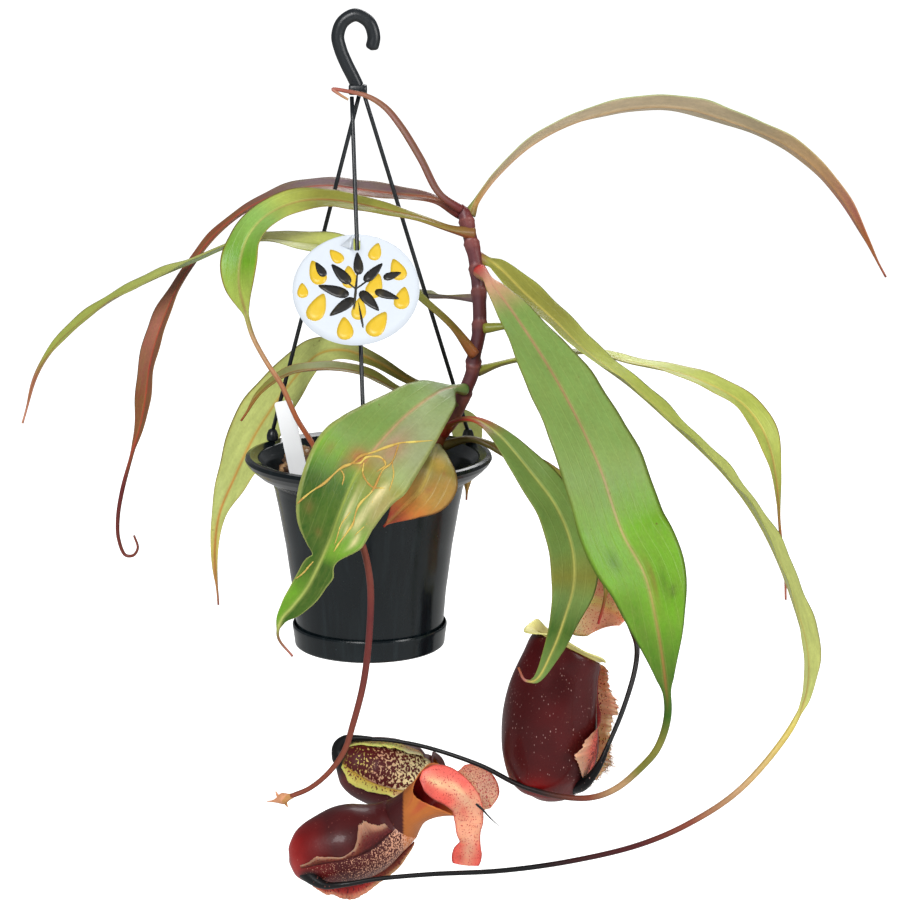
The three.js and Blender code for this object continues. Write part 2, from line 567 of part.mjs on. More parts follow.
// One waved wing standing on the cup's front, turned to one side of its middle.
function pitcherWing(spec, handed) {
  const stations = cupStations(spec).slice(WING_FROM, -1);
  const turn = handed * spec.wing.turn;
  const rings = stations.map((s, k) => {
    const share = Math.sin(Math.PI * (k + 0.6) / (stations.length + 0.2)) ** 0.6;
    const wave = WING_WAVE * Math.sin(2.2 * k) * share;
    const root = s.radius + GAP + 0.3;
    const tilt = BLADE_HALF_THICK / s.radius * 180 / Math.PI;
    const reach = root + spec.wing.width * share + WING_RIPPLE * Math.sin(3.1 * k);
    return [around(s, turn - tilt, root), around(s, turn + wave - tilt, reach),
      around(s, turn + wave + tilt, reach), around(s, turn + tilt, root)];
  });
  return loft(rings);
}

// Lids are short broad blades, heart-shaped, on the far side of each mouth.
const LIDS = {
  pitcher_1_lid: {
    rib: [[114, 9, -362], [122, 2, -357], [134, -8, -353], [148, -18, -352], [160, -26, -356]],
    half: [4, 15, 20, 17, 3], face: [[-0.3, -0.5, 0.8]], fold: -8, rods: [1.6, 0.7], color: 0xd9a05c,
  },
  pitcher_2_lid: {
    rib: [[65, 18, -458], [69, 15, -462], [75, 10, -471], [80, 5, -481], [82, 2, -489]],
    half: [4, 11, 14, 12, 4], face: [[0.3, -0.9, 0.3]], fold: 8, rods: [1.6, 0.7], color: 0xe09a7c,
  },
  pitcher_3_lid: {
    rib: [[38, -60, -445.5], [43, -61, -447.5], [50, -61, -451], [58, -60, -456.5], [65, -58, -464],
      [68, -56, -473], [68, -55, -481], [68.5, -54, -488], [67, -53, -496], [66, -52, -504]],
    half: [3, 9, 12, 11.5, 10, 9.5, 8, 6.5, 9, 8], face: [[0.1, -1, 0.3]], fold: -8, rods: [1.6, 0.7],
    color: 0xd9604a,
  },
};

// The dried bud at the end of the left tendril: a slim spindle with a broader head.
function bud() {
  return rod([[-40.5, -71.8, -453.5], [-44, -71, -455], [-49, -70, -456.5], [-53, -69, -457]],
    (t) => mix(1.7, 0.5, t) + 2.6 * Math.exp(-(((t - 0.35) / 0.2) ** 2)), 6, 2);
}

// ---------- assembly ----------

const plant = new THREE.Group();

function place(name, geometry, color, roughness = 0.5) {
  const mesh = new THREE.Mesh(geometry, new THREE.MeshStandardMaterial({ color, roughness, metalness: 0 }));
  mesh.name = name;
  plant.add(mesh);
}

const BLACK = 0x15171a;
const stemTool = solid(stem(GAP));
const cupTools = Object.values(PITCHERS).map((spec) => pitcherCup(spec, GAP));

place('hanger_hook', hook(), BLACK, 0.45);
['front', 'left', 'right'].forEach((side, index) => place(`strand_${side}`, strand(index), BLACK, 0.4));
place('pot', pot(), BLACK, 0.25);
place('saucer', saucer(), BLACK, 0.25);
place('soil', soil([stemTool, solid(stake(GAP))]), 0x5a3b26, 0.95);
place('round_tag', tag(), 0xf4f4f0, 0.35);
place('stake_label', stake(), 0xf2f2ee, 0.4);
place('stem', stem(), 0x5b2a2c, 0.5);

for (const [name, spec] of Object.entries(LEAVES)) {
  place(name, cut(leaf(spec, 0, 0, spec.tendril), [stemTool, ...cupTools]), spec.color, 0.45);
  if (spec.tendril === undefined) continue;
  place(`tendril_${name.slice(5, 7)}`, cut(leaf(spec, 0, spec.tendril), cupTools), spec.color, 0.45);
}

for (const [name, spec] of Object.entries(PITCHERS)) {
  place(`${name}_cup`, pitcherCup(spec), spec.color, 0.2);
  place(`${name}_collar`, pitcherCollar(spec), 0xc9a23c, 0.35);
  place(`${name}_wing_left`, pitcherWing(spec, 1), 0xd8a878, 0.5);
  place(`${name}_wing_right`, pitcherWing(spec, -1), 0xd8a878, 0.5);
}
for (const [name, spec] of Object.entries(LIDS)) place(name, leaf(spec), spec.color, 0.4);
place('tendril_bud', bud(), 0xc79a5a, 0.7);

export default plant;
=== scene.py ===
# %% [markdown]
# # A hanging pitcher plant
# The plant is a vine in a black hanging pot. Long strap leaves end in tendrils, and three of
# the tendrils swell into lidded pitchers below the pot. The engineering model of the same plant
# is loaded first. Every piece below is a finer skin over one of its solids, in the same place.

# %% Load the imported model
import math

import bpy
import numpy as np
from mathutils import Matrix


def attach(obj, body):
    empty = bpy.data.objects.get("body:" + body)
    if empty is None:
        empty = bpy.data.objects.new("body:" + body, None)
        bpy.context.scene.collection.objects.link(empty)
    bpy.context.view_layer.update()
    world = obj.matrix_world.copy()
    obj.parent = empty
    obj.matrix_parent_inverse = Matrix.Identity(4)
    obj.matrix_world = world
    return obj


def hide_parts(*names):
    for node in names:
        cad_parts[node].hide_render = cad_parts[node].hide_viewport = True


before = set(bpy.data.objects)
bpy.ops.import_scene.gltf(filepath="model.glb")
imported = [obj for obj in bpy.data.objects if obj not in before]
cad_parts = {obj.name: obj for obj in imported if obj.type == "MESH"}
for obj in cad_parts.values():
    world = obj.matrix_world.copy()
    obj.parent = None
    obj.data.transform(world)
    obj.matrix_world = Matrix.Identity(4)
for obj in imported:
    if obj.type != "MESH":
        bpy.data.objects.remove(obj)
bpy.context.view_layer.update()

MM = 0.001

# %% [markdown]
# ## Camera and light
# The plant hangs a little below the eye, so the camera looks down by 12 degrees from 1.6 m
# away with a long lens. A wide pale sky, one large softbox above the left shoulder and a weaker
# one on the right give a soft studio light. A lamp with a small face would give hard shadows.

# %% Camera
CAMERA_TILT = 78
camera_data = bpy.data.cameras.new("camera")
camera_data.lens = 108
camera_data.sensor_width = 36
camera_data.clip_end = 60
camera = bpy.data.objects.new("camera", camera_data)
camera.location = (0.0564, -1.6036, 0.0838)
camera.rotation_euler = (math.radians(CAMERA_TILT), 0, 0)
bpy.context.scene.collection.objects.link(camera)
bpy.context.scene.camera = camera
bpy.context.scene.view_settings.view_transform = "Standard"
print("camera looks down by", 90 - CAMERA_TILT, "degrees")

# %% Sky and softboxes
world = bpy.data.worlds.new("studio")
world.use_nodes = True
sky = world.node_tree.nodes["Background"].inputs
sky["Color"].default_value = (0.94, 0.97, 1.0, 1)
sky["Strength"].default_value = 0.24
bpy.context.scene.world = world
MIDDLE = (0.06, 0.0, -0.25)


def softbox(name, place, size, watts):
    """A square area light at a place, turned so that its face looks at the plant's middle."""
    data = bpy.data.lights.new(name, "AREA")
    data.size = size
    data.energy = watts
    lamp = bpy.data.objects.new(name, data)
    lamp.location = place
    ahead = np.subtract(MIDDLE, place)
    lamp.rotation_euler = (math.acos(-ahead[2] / np.linalg.norm(ahead)), 0,
                           math.atan2(ahead[1], ahead[0]) - math.pi / 2)
    bpy.context.scene.collection.objects.link(lamp)


SOFTBOXES = {"softbox_left": ((-0.8, -2.1, 1.2), 1.1, 58),
             "softbox_right": ((1.7, -1.1, 0.3), 0.9, 22),
             "softbox_back": ((0.5, 1.8, 1.2), 1.2, 24)}
for name, (place, size, watts) in SOFTBOXES.items():
    softbox(name, place, size, watts)
print(len(SOFTBOXES), "softboxes")

# %% [markdown]
# ## Helpers for skins
# Nearly every piece here is a closed tube: a ring of points carried along a line, from a round
# wire to a flat leaf. So one helper turns a grid of points into faces. It takes many grids of
# one size at once, which keeps hairs and bark chips to a single array each. Colour zones are
# worked out with the shape and kept on the points as an attribute, because a leaf changes
# colour along its rib and not by its place in the room.

# %% Angles and blends


def unit(vectors):
    """Each vector over its own length."""
    return vectors / np.maximum(np.linalg.norm(vectors, axis=-1, keepdims=True), 1e-12)


def circle(count):
    """Even angles once round, without the last one, which would repeat the first."""
    return np.linspace(0, 2 * np.pi, count, endpoint=False)


def short_way(angle):
    """An angle brought to between minus and plus half a turn."""
    return (angle + np.pi) % (2 * np.pi) - np.pi


def towards(first, second, share):
    """First + (second - first) x share."""
    return first + (second - first) * share


def hump(x):
    """A smooth bump: 1 at 0, falling to nothing past 2."""
    return np.exp(-np.square(x))


def smooth(low, high, x):
    """0 below low, 1 above high, and an S-shaped blend between them."""
    t = np.clip((x - low) / (high - low), 0, 1)
    return t * t * (3 - 2 * t)


print("a bump is", round(float(hump(1)), 2), "at 1")

# %% Smooth lines


def steps_along(line, steps):
    """Even places along a line of points, with this many steps from each point to the next."""
    spans = len(line) - 1
    return np.linspace(0, spans, spans * steps + 1)


def through(points, places):
    """A smooth line through points, read at places: 3.5 is halfway from the fourth to the fifth.

    Each span is a cubic. Its end slopes come from the neighbouring points, weighted by the
    square roots of the distances between them, so the line never overshoots into a loop.
    """
    p = np.asarray(points, float)
    p = np.vstack([2 * p[0] - p[1], p, 2 * p[-1] - p[-2]])
    chord = np.sqrt(np.linalg.norm(np.diff(p, axis=0), axis=1))
    low = np.clip(np.floor(places).astype(int), 0, len(p) - 4)
    t = (places - low)[:, None]
    a, b, c, d = p[low], p[low + 1], p[low + 2], p[low + 3]
    d0, d1, d2 = (chord[low + k][:, None] for k in range(3))
    slope_b = d1 * ((b - a) / d0 - (c - a) / (d0 + d1) + (c - b) / d1)
    slope_c = d1 * ((c - b) / d1 - (d - b) / (d1 + d2) + (d - c) / d2)
    return (b + t * slope_b + t**2 * (3 * (c - b) - 2 * slope_b - slope_c)
            + t**3 * (2 * (b - c) + slope_b + slope_c))


def ahead_at(points, places):
    """The direction of a smooth line at its places, from a point just behind to one just ahead."""
    back, on = np.maximum(places - 0.02, 0), np.minimum(places + 0.02, len(points) - 1)
    return unit(through(points, on) - through(points, back))


def flowing(values, places):
    """Values held at whole places and joined by a smooth line that never goes below 0."""
    v = np.append(np.asarray(values, float), [0, 0, 0])
    pairs = np.stack([np.arange(len(v)) * 12.0, v, 0 * v], -1)
    return np.maximum(through(pairs, np.minimum(places, len(v) - 1.001))[:, 1], 0)


def facing(face, share):
    """Directions spread evenly over 0..1 and blended in a straight line between neighbours."""
    f = unit(np.asarray(face, float))
    place = np.clip(share, 0, 1) * (len(f) - 1)
    low = np.clip(np.floor(place).astype(int), 0, max(0, len(f) - 2))
    high = np.minimum(low + 1, len(f) - 1)
    return unit(towards(f[low], f[high], (place - low)[:, None]))


print("0, 4 and 2 joined:", np.round(flowing([0, 4, 2], np.arange(0, 2.5, 0.5)), 2))

# %% Colours by name


def paint(screen):
    """A screen colour in 0..255 as the linear light that the shaders add up."""
    c = np.array(screen) / 255
    return np.where(c <= 0.04045, c / 12.92, ((c + 0.055) / 1.055) ** 2.4)


INK = {name: paint(screen) for name, screen in {
    "fresh": (102, 156, 30), "bright": (142, 184, 92), "deep": (54, 94, 12),
    "dark": (116, 146, 74), "lime": (174, 184, 84), "pale": (198, 204, 116),
    "light": (196, 206, 122), "forest": (36, 78, 6), "sage": (154, 178, 118),
    "grey_green": (150, 156, 120), "olive": (134, 132, 54), "drab": (112, 98, 50),
    "fawn": (186, 166, 134), "taupe": (160, 132, 104), "sand": (206, 184, 152),
    "yellow": (214, 194, 96), "gold": (200, 154, 62), "ochre": (170, 124, 56),
    "brown": (132, 88, 48), "tan": (196, 156, 112), "rust": (158, 84, 48),
    "red_brown": (134, 68, 50), "red": (190, 52, 50), "wine": (102, 38, 38),
    "plum": (120, 94, 104), "pink": (206, 150, 122), "rose": (176, 104, 92),
    "salmon": (246, 170, 136), "coral": (252, 104, 90), "orange": (206, 116, 48),
    "blush": (255, 180, 146), "peach": (255, 208, 168), "cream": (240, 222, 166),
    "lemon": (234, 222, 118), "butter": (252, 246, 160), "maroon": (78, 20, 22),
    "blood": (138, 18, 18), "soot": (34, 24, 24), "ink": (12, 12, 14),
}.items()}


def rgb(name, strength=1.0):
    """A named colour with its alpha, for a shader socket."""
    return (*(INK[name] * strength), 1)


def blend_of(stops, places):
    """Colour at each place, from stops such as "3 wine, 5 rust": a place, then a colour's name.

    The colour blends evenly between two stops, and stays the same before the first of them
    and after the last.
    """
    keys, names = zip(*(stop.split() for stop in stops.split(", ")))
    inks = np.array([INK[name] for name in names])
    keys = [float(key) for key in keys]
    return np.stack([np.interp(places, keys, inks[:, k]) for k in range(3)], axis=-1)


print(len(INK), "named colours")

# %% Grids to skins


def skin(grid, looped=False, **marks):
    """Closed skins over grids of points, shaped (pieces, rings, points in a ring, 3), in mm.

    Face (i, j) joins points j and j+1 of ring i to the same two of ring i+1. The ring closes on
    itself. The first and last rings close in a fan round their middle, or join when looped.
    Each mark is an array of the same grid shape that rides on the points.
    """
    grid = np.asarray(grid, float)
    if grid.ndim == 3:
        grid = grid[None]
    k, n, m, _ = grid.shape
    points = grid.reshape(k, n * m, 3)
    i, j = np.meshgrid(np.arange(n if looped else n - 1), np.arange(m), indexing="ij")
    nxt, up = (j + 1) % m, (i + 1) % n
    quads = np.stack([i * m + j, i * m + nxt, up * m + nxt, up * m + j], -1).reshape(-1, 4)
    quad_uv = np.stack([np.stack([(j + a) / m, (i + b) / n], -1) for a, b in
                        ((0, 0), (1, 0), (1, 1), (0, 1))], -2).reshape(-1, 4, 2)
    fans, fan_uv = np.zeros((0, 3), int), np.zeros((0, 3, 2))
    if not looped:
        points = np.concatenate([points, grid[:, [0, -1]].mean(axis=2)], axis=1)
        r = np.arange(m)
        low = np.stack([np.full(m, n * m), (r + 1) % m, r], -1)
        high = np.stack([np.full(m, n * m + 1), (n - 1) * m + r, (n - 1) * m + (r + 1) % m], -1)
        fans = np.concatenate([low, high])
        tip, a, b = (np.stack([(r + ahead) / m, np.zeros(m)], -1) for ahead in (0.5, 0, 1))
        top = np.array([0, (n - 1) / n])
        fan_uv = np.concatenate([np.stack([tip, b, a], 1), np.stack([tip, a, b], 1) + top])
    tri = np.concatenate([quads[:, [0, 1, 2]], quads[:, [0, 2, 3]], fans])
    corner = points[0][tri]
    if np.einsum("ij,ij->", corner[:, 0], np.cross(corner[:, 1], corner[:, 2])) < 0:
        quads, quad_uv, fans, fan_uv = (part[:, ::-1] for part in (quads, quad_uv, fans, fan_uv))
    step = np.arange(k)[:, None, None] * points.shape[1]
    held = {}
    for name, mark in marks.items():
        mark = np.broadcast_to(mark, (k, n, m, mark.shape[-1]))
        flat = mark.reshape(k, n * m, -1)
        if not looped:
            flat = np.concatenate([flat, mark[:, [0, -1]].mean(axis=2)], axis=1)
        held[name] = flat.reshape(-1, flat.shape[-1])
    return {"points": points.reshape(-1, 3), "quads": (quads + step).reshape(-1, 4),
            "fans": (fans + step).reshape(-1, 3), "quad_uv": np.tile(quad_uv, (k, 1, 1)),
            "fan_uv": np.tile(fan_uv, (k, 1, 1)), "marks": held}


print("3 rings of 4 points make", len(skin(np.zeros((3, 4, 3)))["quads"]), "four-sided faces")

# %% Skins to objects
KINDS = {"tint": ("FLOAT_COLOR", "color"), "lay": ("FLOAT_VECTOR", "vector"),
         "fleck": ("FLOAT", "value")}


def build(name, skins, material, stands_for=()):
    """One object from one or more skins: a mesh in metres with its UV map and its marks.

    It takes the places of the solids in `stands_for`, and hides them.
    """
    starts = np.cumsum([0] + [len(s["points"]) for s in skins])
    quads = np.concatenate([s["quads"] + at for s, at in zip(skins, starts)])
    fans = np.concatenate([s["fans"] + at for s, at in zip(skins, starts)])
    mesh = bpy.data.meshes.new(name)
    mesh.vertices.add(starts[-1])
    mesh.vertices.foreach_set("co", (np.concatenate([s["points"] for s in skins]) * MM).ravel())
    mesh.loops.add(quads.size + fans.size)
    mesh.loops.foreach_set("vertex_index", np.concatenate([quads.ravel(), fans.ravel()]))
    mesh.polygons.add(len(quads) + len(fans))
    mesh.polygons.foreach_set("loop_start", np.concatenate(
        [np.arange(len(quads)) * 4, quads.size + np.arange(len(fans)) * 3]))
    mesh.update(calc_edges=True)
    uv = np.concatenate([s[part].reshape(-1, 2) for part in ("quad_uv", "fan_uv") for s in skins])
    mesh.uv_layers.new(name="skin_map").data.foreach_set("uv", uv.ravel())
    for mark in skins[0]["marks"]:
        values = np.concatenate([s["marks"][mark] for s in skins])
        if mark == "tint":
            values = np.hstack([values, np.ones((len(values), 1))])
        kind, key = KINDS[mark]
        mesh.attributes.new(mark, kind, "POINT").data.foreach_set(key, values.ravel())
    mesh.shade_smooth()
    mesh.materials.append(material)
    made = bpy.data.objects.new(name, mesh)
    bpy.context.scene.collection.objects.link(made)
    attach(made, "root")
    if stands_for:
        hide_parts(*stands_for)
    print(name, len(mesh.polygons), "faces")


# %% Tubes and turned skins
POT_X = 7


def sweep(centre, side, lift, angle, size):
    """Rings along a line: centre + size x (side cos angle + lift sin angle)."""
    return centre + size * (side * np.cos(angle) + lift * np.sin(angle))


def tube(points, radius, sides=12, steps=6):
    """A round bar along a smooth line. Its radius is a function of the share of its length."""
    places = steps_along(points, steps)
    centre = through(points, places)
    along = unit(np.gradient(centre, axis=0))
    side = unit(np.cross(along, (0, 1, 0.01)))
    size = np.broadcast_to(radius(places / places[-1]), places.shape)[:, None, None]
    return sweep(centre[:, None], side[:, None], np.cross(side, along)[:, None],
                 circle(sides)[None, :, None], size)


def turned(profile, x=POT_X, y=0, sides=96):
    """A turned skin: each (radius, height) of the profile swept once round an upright axis."""
    r, z = np.asarray(profile, float).T
    angle = circle(sides)
    return np.stack([x + r[:, None] * np.cos(angle), y + r[:, None] * np.sin(angle),
                     np.repeat(z[:, None], sides, 1)], -1)


print("the pot's axis is at x =", POT_X, "mm")

# %% [markdown]
# ## Shared finishes
# A few shader groups serve the whole plant. Each gives colour, roughness and height only, and
# the shader itself stays in the material, where its fixed values can be set. A small class
# keeps each group's wiring short: it has one method for each kind of node.

# %% Shader groups
OUTPUTS = {"Color": "NodeSocketColor", "Roughness": "NodeSocketFloat", "Height": "NodeSocketFloat"}


class Finish:
    """A shared shader group: named inputs, and colour, roughness and height as its outputs."""

    def __init__(self, name, inputs):
        """An empty group. `inputs` maps each input's name to its usual number or colour."""
        self.tree = bpy.data.node_groups.new(name, "ShaderNodeTree")
        for label, default in inputs.items():
            kind = "NodeSocketFloat" if isinstance(default, float) else "NodeSocketColor"
            socket = self.tree.interface.new_socket(label, in_out="INPUT", socket_type=kind)
            socket.default_value = default
        for label, kind in OUTPUTS.items():
            self.tree.interface.new_socket(label, in_out="OUTPUT", socket_type=kind)
        self.given = self.node("NodeGroupInput").outputs
        self.here = self.node("ShaderNodeTexCoord").outputs["Object"]

    def node(self, kind, inputs=None, **settings):
        """One node. `inputs` maps a socket to a value or to the output that feeds it."""
        made = self.tree.nodes.new(kind)
        for key, value in settings.items():
            setattr(made, key, value)
        for key, value in (inputs or {}).items():
            if isinstance(value, bpy.types.NodeSocket):
                self.tree.links.new(value, made.inputs[key])
            else:
                made.inputs[key].default_value = value
        return made

    def mark(self, name, output):
        """A mark that was kept on the points."""
        return self.node("ShaderNodeAttribute", attribute_name=name).outputs[output]

    def scaled(self, vector, scale):
        """A place scaled on each axis, so that a pattern is drawn out along the small ones."""
        return self.node("ShaderNodeMapping", {"Vector": vector, "Scale": scale}).outputs[0]

    def noise(self, scale, detail=2.0, roughness=0.5, at=None):
        """Cloudy noise over the piece, or over another vector."""
        return self.node("ShaderNodeTexNoise", {
            "Vector": self.here if at is None else at, "Scale": scale, "Detail": detail,
            "Roughness": roughness}).outputs[0]

    def cells(self, scale, at=None, output="Distance", **settings):
        """A pattern of cells: the distance from each cell's middle, or another output."""
        at = self.here if at is None else at
        return self.node("ShaderNodeTexVoronoi", {"Vector": at, "Scale": scale},
                         **settings).outputs[output]

    def math(self, operation, *values):
        """One sum."""
        return self.node("ShaderNodeMath", dict(enumerate(values)), operation=operation).outputs[0]

    def times(self, first, *others):
        """First x each of the others."""
        for other in others:
            first = self.math("MULTIPLY", first, other)
        return first

    def plus(self, first, share, base):
        """First x share + base."""
        return self.math("MULTIPLY_ADD", first, share, base)

    def ramp(self, factor, *stops):
        """Grey levels by position: two stops sharpen a pattern into a mask."""
        made = self.node("ShaderNodeValToRGB", {"Fac": factor})
        for element, (position, level) in zip(made.color_ramp.elements, stops):
            element.position = position
            element.color = (level, level, level, 1)
        return made.outputs["Color"]

    def blend(self, factor, first, second, kind="MIX"):
        """First colour towards second by factor, or multiplied by it."""
        sockets = {0: factor, 6: first, 7: second}
        return self.node("ShaderNodeMix", sockets, data_type="RGBA", blend_type=kind).outputs[2]

    def give(self, colour, roughness, height):
        """Wire the group's three outputs."""
        self.node("NodeGroupOutput", dict(zip(OUTPUTS, (colour, roughness, height))))
        print(self.tree.name, len(self.tree.nodes), "nodes")


print("every finish gives", ", ".join(OUTPUTS))

# %% Materials
BUMP_HEIGHT = 0.0004


def material(name, finish, inputs, relief=0.3, relief_height=BUMP_HEIGHT, **fixed):
    """A material: a finish feeds colour, roughness and bump; fixed values sit on the shader."""
    mat = bpy.data.materials.new(name)
    mat.use_nodes = True
    tree = mat.node_tree
    shader = tree.nodes["Principled BSDF"]
    pattern = tree.nodes.new("ShaderNodeGroup")
    pattern.node_tree = finish.tree
    for key, value in inputs.items():
        pattern.inputs[key].default_value = value
    bump = tree.nodes.new("ShaderNodeBump")
    bump.inputs["Strength"].default_value = relief
    bump.inputs["Distance"].default_value = relief_height
    tree.links.new(pattern.outputs["Color"], shader.inputs["Base Color"])
    tree.links.new(pattern.outputs["Roughness"], shader.inputs["Roughness"])
    tree.links.new(pattern.outputs["Height"], bump.inputs["Height"])
    tree.links.new(bump.outputs["Normal"], shader.inputs["Normal"])
    for key, value in fixed.items():
        shader.inputs[key.replace("_", " ")].default_value = value
    print("material", name)
    return mat


print("a bump is", BUMP_HEIGHT / MM, "mm high where nothing else is said")

# %% [markdown]
# ### Leaf tissue
# A living leaf has fine veins along the blade, a net of cells between them and a soft mottling.
# The veins follow the leaf and not the room, so they read the mark `lay`, which says how many
# metres a point is across and along, and how much of a blade it is. An image would blur at the
# tendrils, where the leaf narrows to a wire.

# %% Leaf tissue
leaf_tissue = Finish("leaf_tissue", {"Gloss": 0.36, "Vein": 0.12, "Mottle": 0.25})
f, given = leaf_tissue, leaf_tissue.given
tint, lay = f.mark("tint", "Color"), f.mark("lay", "Vector")
across, _, blade = f.node("ShaderNodeSeparateXYZ", {0: lay}).outputs
drawn = f.scaled(lay, (1.0, 0.3, 0.0))
streak = f.ramp(f.noise(260.0, 5.0, 0.65, drawn), (0.36, 0), (0.66, 1))
net = f.ramp(f.cells(420.0, drawn, feature="DISTANCE_TO_EDGE"), (0.0, 1), (0.09, 0))
wave = f.math("SINE", f.times(f.math("ABSOLUTE", across), 1080.0))
veins = f.times(f.plus(net, 0.35, f.ramp(wave, (0.9, 0), (1.0, 1))), blade)
patch = f.ramp(f.noise(34.0, 5.0, 0.6), (0.38, 0), (0.7, 1))
grain = f.noise(520.0, 4.0)
freckle = f.ramp(f.cells(150.0), (0.06, 1), (0.13, 0))
freckle = f.times(freckle, f.ramp(f.noise(60.0), (0.56, 0), (0.64, 1)), blade, 0.55)
mottle = f.times(f.plus(patch, 0.5, streak), given["Mottle"], blade)
colour = f.blend(mottle, tint, f.blend(0.6, tint, rgb("lime")))
colour = f.blend(1.0, colour, f.plus(streak, -0.16, 1.06), "MULTIPLY")
colour = f.blend(f.times(veins, given["Vein"]), colour, f.blend(0.6, colour, rgb("pale")))
colour = f.blend(freckle, colour, rgb("brown", 0.5))
f.give(f.blend(1.0, colour, f.ramp(grain, (0.25, 0.86), (0.75, 1.0)), "MULTIPLY"),
       f.plus(patch, 0.14, given["Gloss"]), f.plus(grain, 0.3, veins))

# %% [markdown]
# ### Pitcher skin
# A cup is waxy and dark, with pale or wine-coloured flecks that crowd towards its front. Noise
# gives the flecks, and the mark `fleck` says how many of them there are: it is added to the
# noise before a sharp ramp, so the flecks grow and join where it is high.

# %% Pitcher skin
pitcher_skin = Finish("pitcher_skin", {
    "Fleck Colour": (0.8, 0.5, 0.4, 1), "Speck Colour": (0.5, 0.3, 0.3, 1),
    "Specks": 0.5, "Gloss": 0.22, "Grain": 700.0})
f, given = pitcher_skin, pitcher_skin.given
amount = f.mark("fleck", "Fac")
drawn = f.scaled(f.here, (1.0, 1.0, 0.6))
level = f.ramp(f.plus(amount, 0.5, f.noise(given["Grain"], at=drawn)), (0.73, 0), (0.78, 1))
fleck = f.times(level, f.ramp(amount, (0.01, 0), (0.06, 1)))
speck = f.ramp(f.cells(460.0, drawn), (0.1, 1), (0.2, 0))
speck = f.times(speck, f.ramp(f.noise(90.0, 3.0), (0.42, 0), (0.6, 1)), given["Specks"])
cloud = f.ramp(f.noise(46.0, 4.0), (0.3, 0.66), (0.7, 1.0))
colour = f.blend(1.0, f.mark("tint", "Color"), cloud, "MULTIPLY")
colour = f.blend(speck, colour, given["Speck Colour"])
f.give(f.blend(fleck, colour, given["Fleck Colour"]), f.plus(cloud, 0.12, given["Gloss"]),
       f.plus(fleck, 0.4, f.noise(700.0)))

# %% [markdown]
# ### Moulded plastic
# Plastic that hangs in a greenhouse gathers a film of dust, dried drops and long streaks that
# water leaves as it runs down. Each is one pattern, and together they blend a dust colour in
# and dull the gloss. The pattern is the same for the black and the white pieces. On the pot the
# dust colour is bluish, and its upright streaks are partly painted reflection: they stand in
# for the pale upright reflections on the glossy black side.

# %% Moulded plastic
moulded_plastic = Finish("moulded_plastic", {
    "Colour": (0.01, 0.01, 0.012, 1), "Dust and Sheen Colour": (0.3, 0.3, 0.29, 1),
    "Dust and Sheen": 0.12, "Gloss": 0.14})
f, given = moulded_plastic, moulded_plastic.given
film = f.ramp(f.noise(28.0, 6.0, 0.65), (0.38, 0), (0.74, 1))
drop = f.ramp(f.cells(150.0), (0.05, 1), (0.12, 0))
drop = f.times(drop, f.ramp(f.noise(45.0), (0.52, 0), (0.62, 1)))
streak = f.noise(170.0, 4.0, at=f.scaled(f.here, (1.0, 1.0, 0.06)))
streak = f.ramp(streak, (0.5, 0), (0.8, 1))
# The blended dust; on the pot it is also painted reflection.
dust_and_sheen = f.times(f.plus(streak, 0.9, f.plus(film, 0.3, drop)), given["Dust and Sheen"])
f.give(f.blend(dust_and_sheen, given["Colour"], given["Dust and Sheen Colour"]),
       f.plus(drop, 0.3, f.plus(film, 0.14, given["Gloss"])), f.noise(900.0))

# %% [markdown]
# ### Bark
# Bark chips are fibrous, with dark and light grain that changes from chip to chip. Noise drawn
# out along one axis gives the grain, and a cell pattern gives each chip a tone of its own. The
# same finish serves the papery bud and the healed scars, with other colours.

# %% Bark
bark = Finish("bark", {"Dark": (0.05, 0.02, 0.01, 1), "Light": (0.3, 0.16, 0.08, 1)})
f, given = bark, bark.given
fibre = f.node("ShaderNodeTexNoise", {
    "Vector": f.scaled(f.here, (1.0, 0.35, 1.6)), "Scale": 420.0, "Detail": 6.0,
    "Roughness": 0.7}).outputs
tone = f.ramp(f.blend(0.45, fibre["Color"], f.cells(95.0, output="Color")), (0.3, 0), (0.7, 1))
f.give(f.blend(tone, given["Dark"], given["Light"]), f.plus(fibre[0], 0.3, 0.65), fibre[0])

# %% [markdown]
# ### Floor
# The floor is a broad pale sheet some way below the lowest tendril. A faint mottling keeps it
# from being one flat tone. It glows a little for the camera alone, as an overexposed studio
# sheet does, so its glare does not wash out the glossy black pot above it.

# %% Floor sheet
FLOOR_Z = -0.64
floor_wash = Finish("floor_wash", {"Tone": (0.66, 0.66, 0.65, 1)})
f = floor_wash
wash = f.ramp(f.noise(2.0, 3.0), (0.3, 0.96), (0.7, 1.0))
f.give(f.blend(1.0, f.given["Tone"], wash, "MULTIPLY"), f.times(wash, 0.8), wash)
floor_paint = material("floor_paint", floor_wash, {}, relief=0.02, Emission_Color=(1, 1, 1, 1))
tree = floor_paint.node_tree
rays = tree.nodes.new("ShaderNodeLightPath").outputs["Is Camera Ray"]
tree.links.new(rays, tree.nodes["Principled BSDF"].inputs["Emission Strength"])
floor_mesh = bpy.data.meshes.new("floor")
floor_mesh.from_pydata([(x, y, FLOOR_Z) for x, y in ((-20, -8), (20, -8), (20, 40), (-20, 40))],
                       [], [(0, 1, 2, 3)])
floor_mesh.materials.append(floor_paint)
floor = bpy.data.objects.new("floor", floor_mesh)
bpy.context.scene.collection.objects.link(floor)
print("floor at", FLOOR_Z, "m")

# %% [markdown]
# ## Hanger
# The real hanger is one moulding of black plastic: a crook of round bar, a small block under it
# and three thin strands that peg into the rim. The bar is a circle carried along the crook's
# line. The block is a rounded box, made as a stack of rounded squares, so its edges catch light.

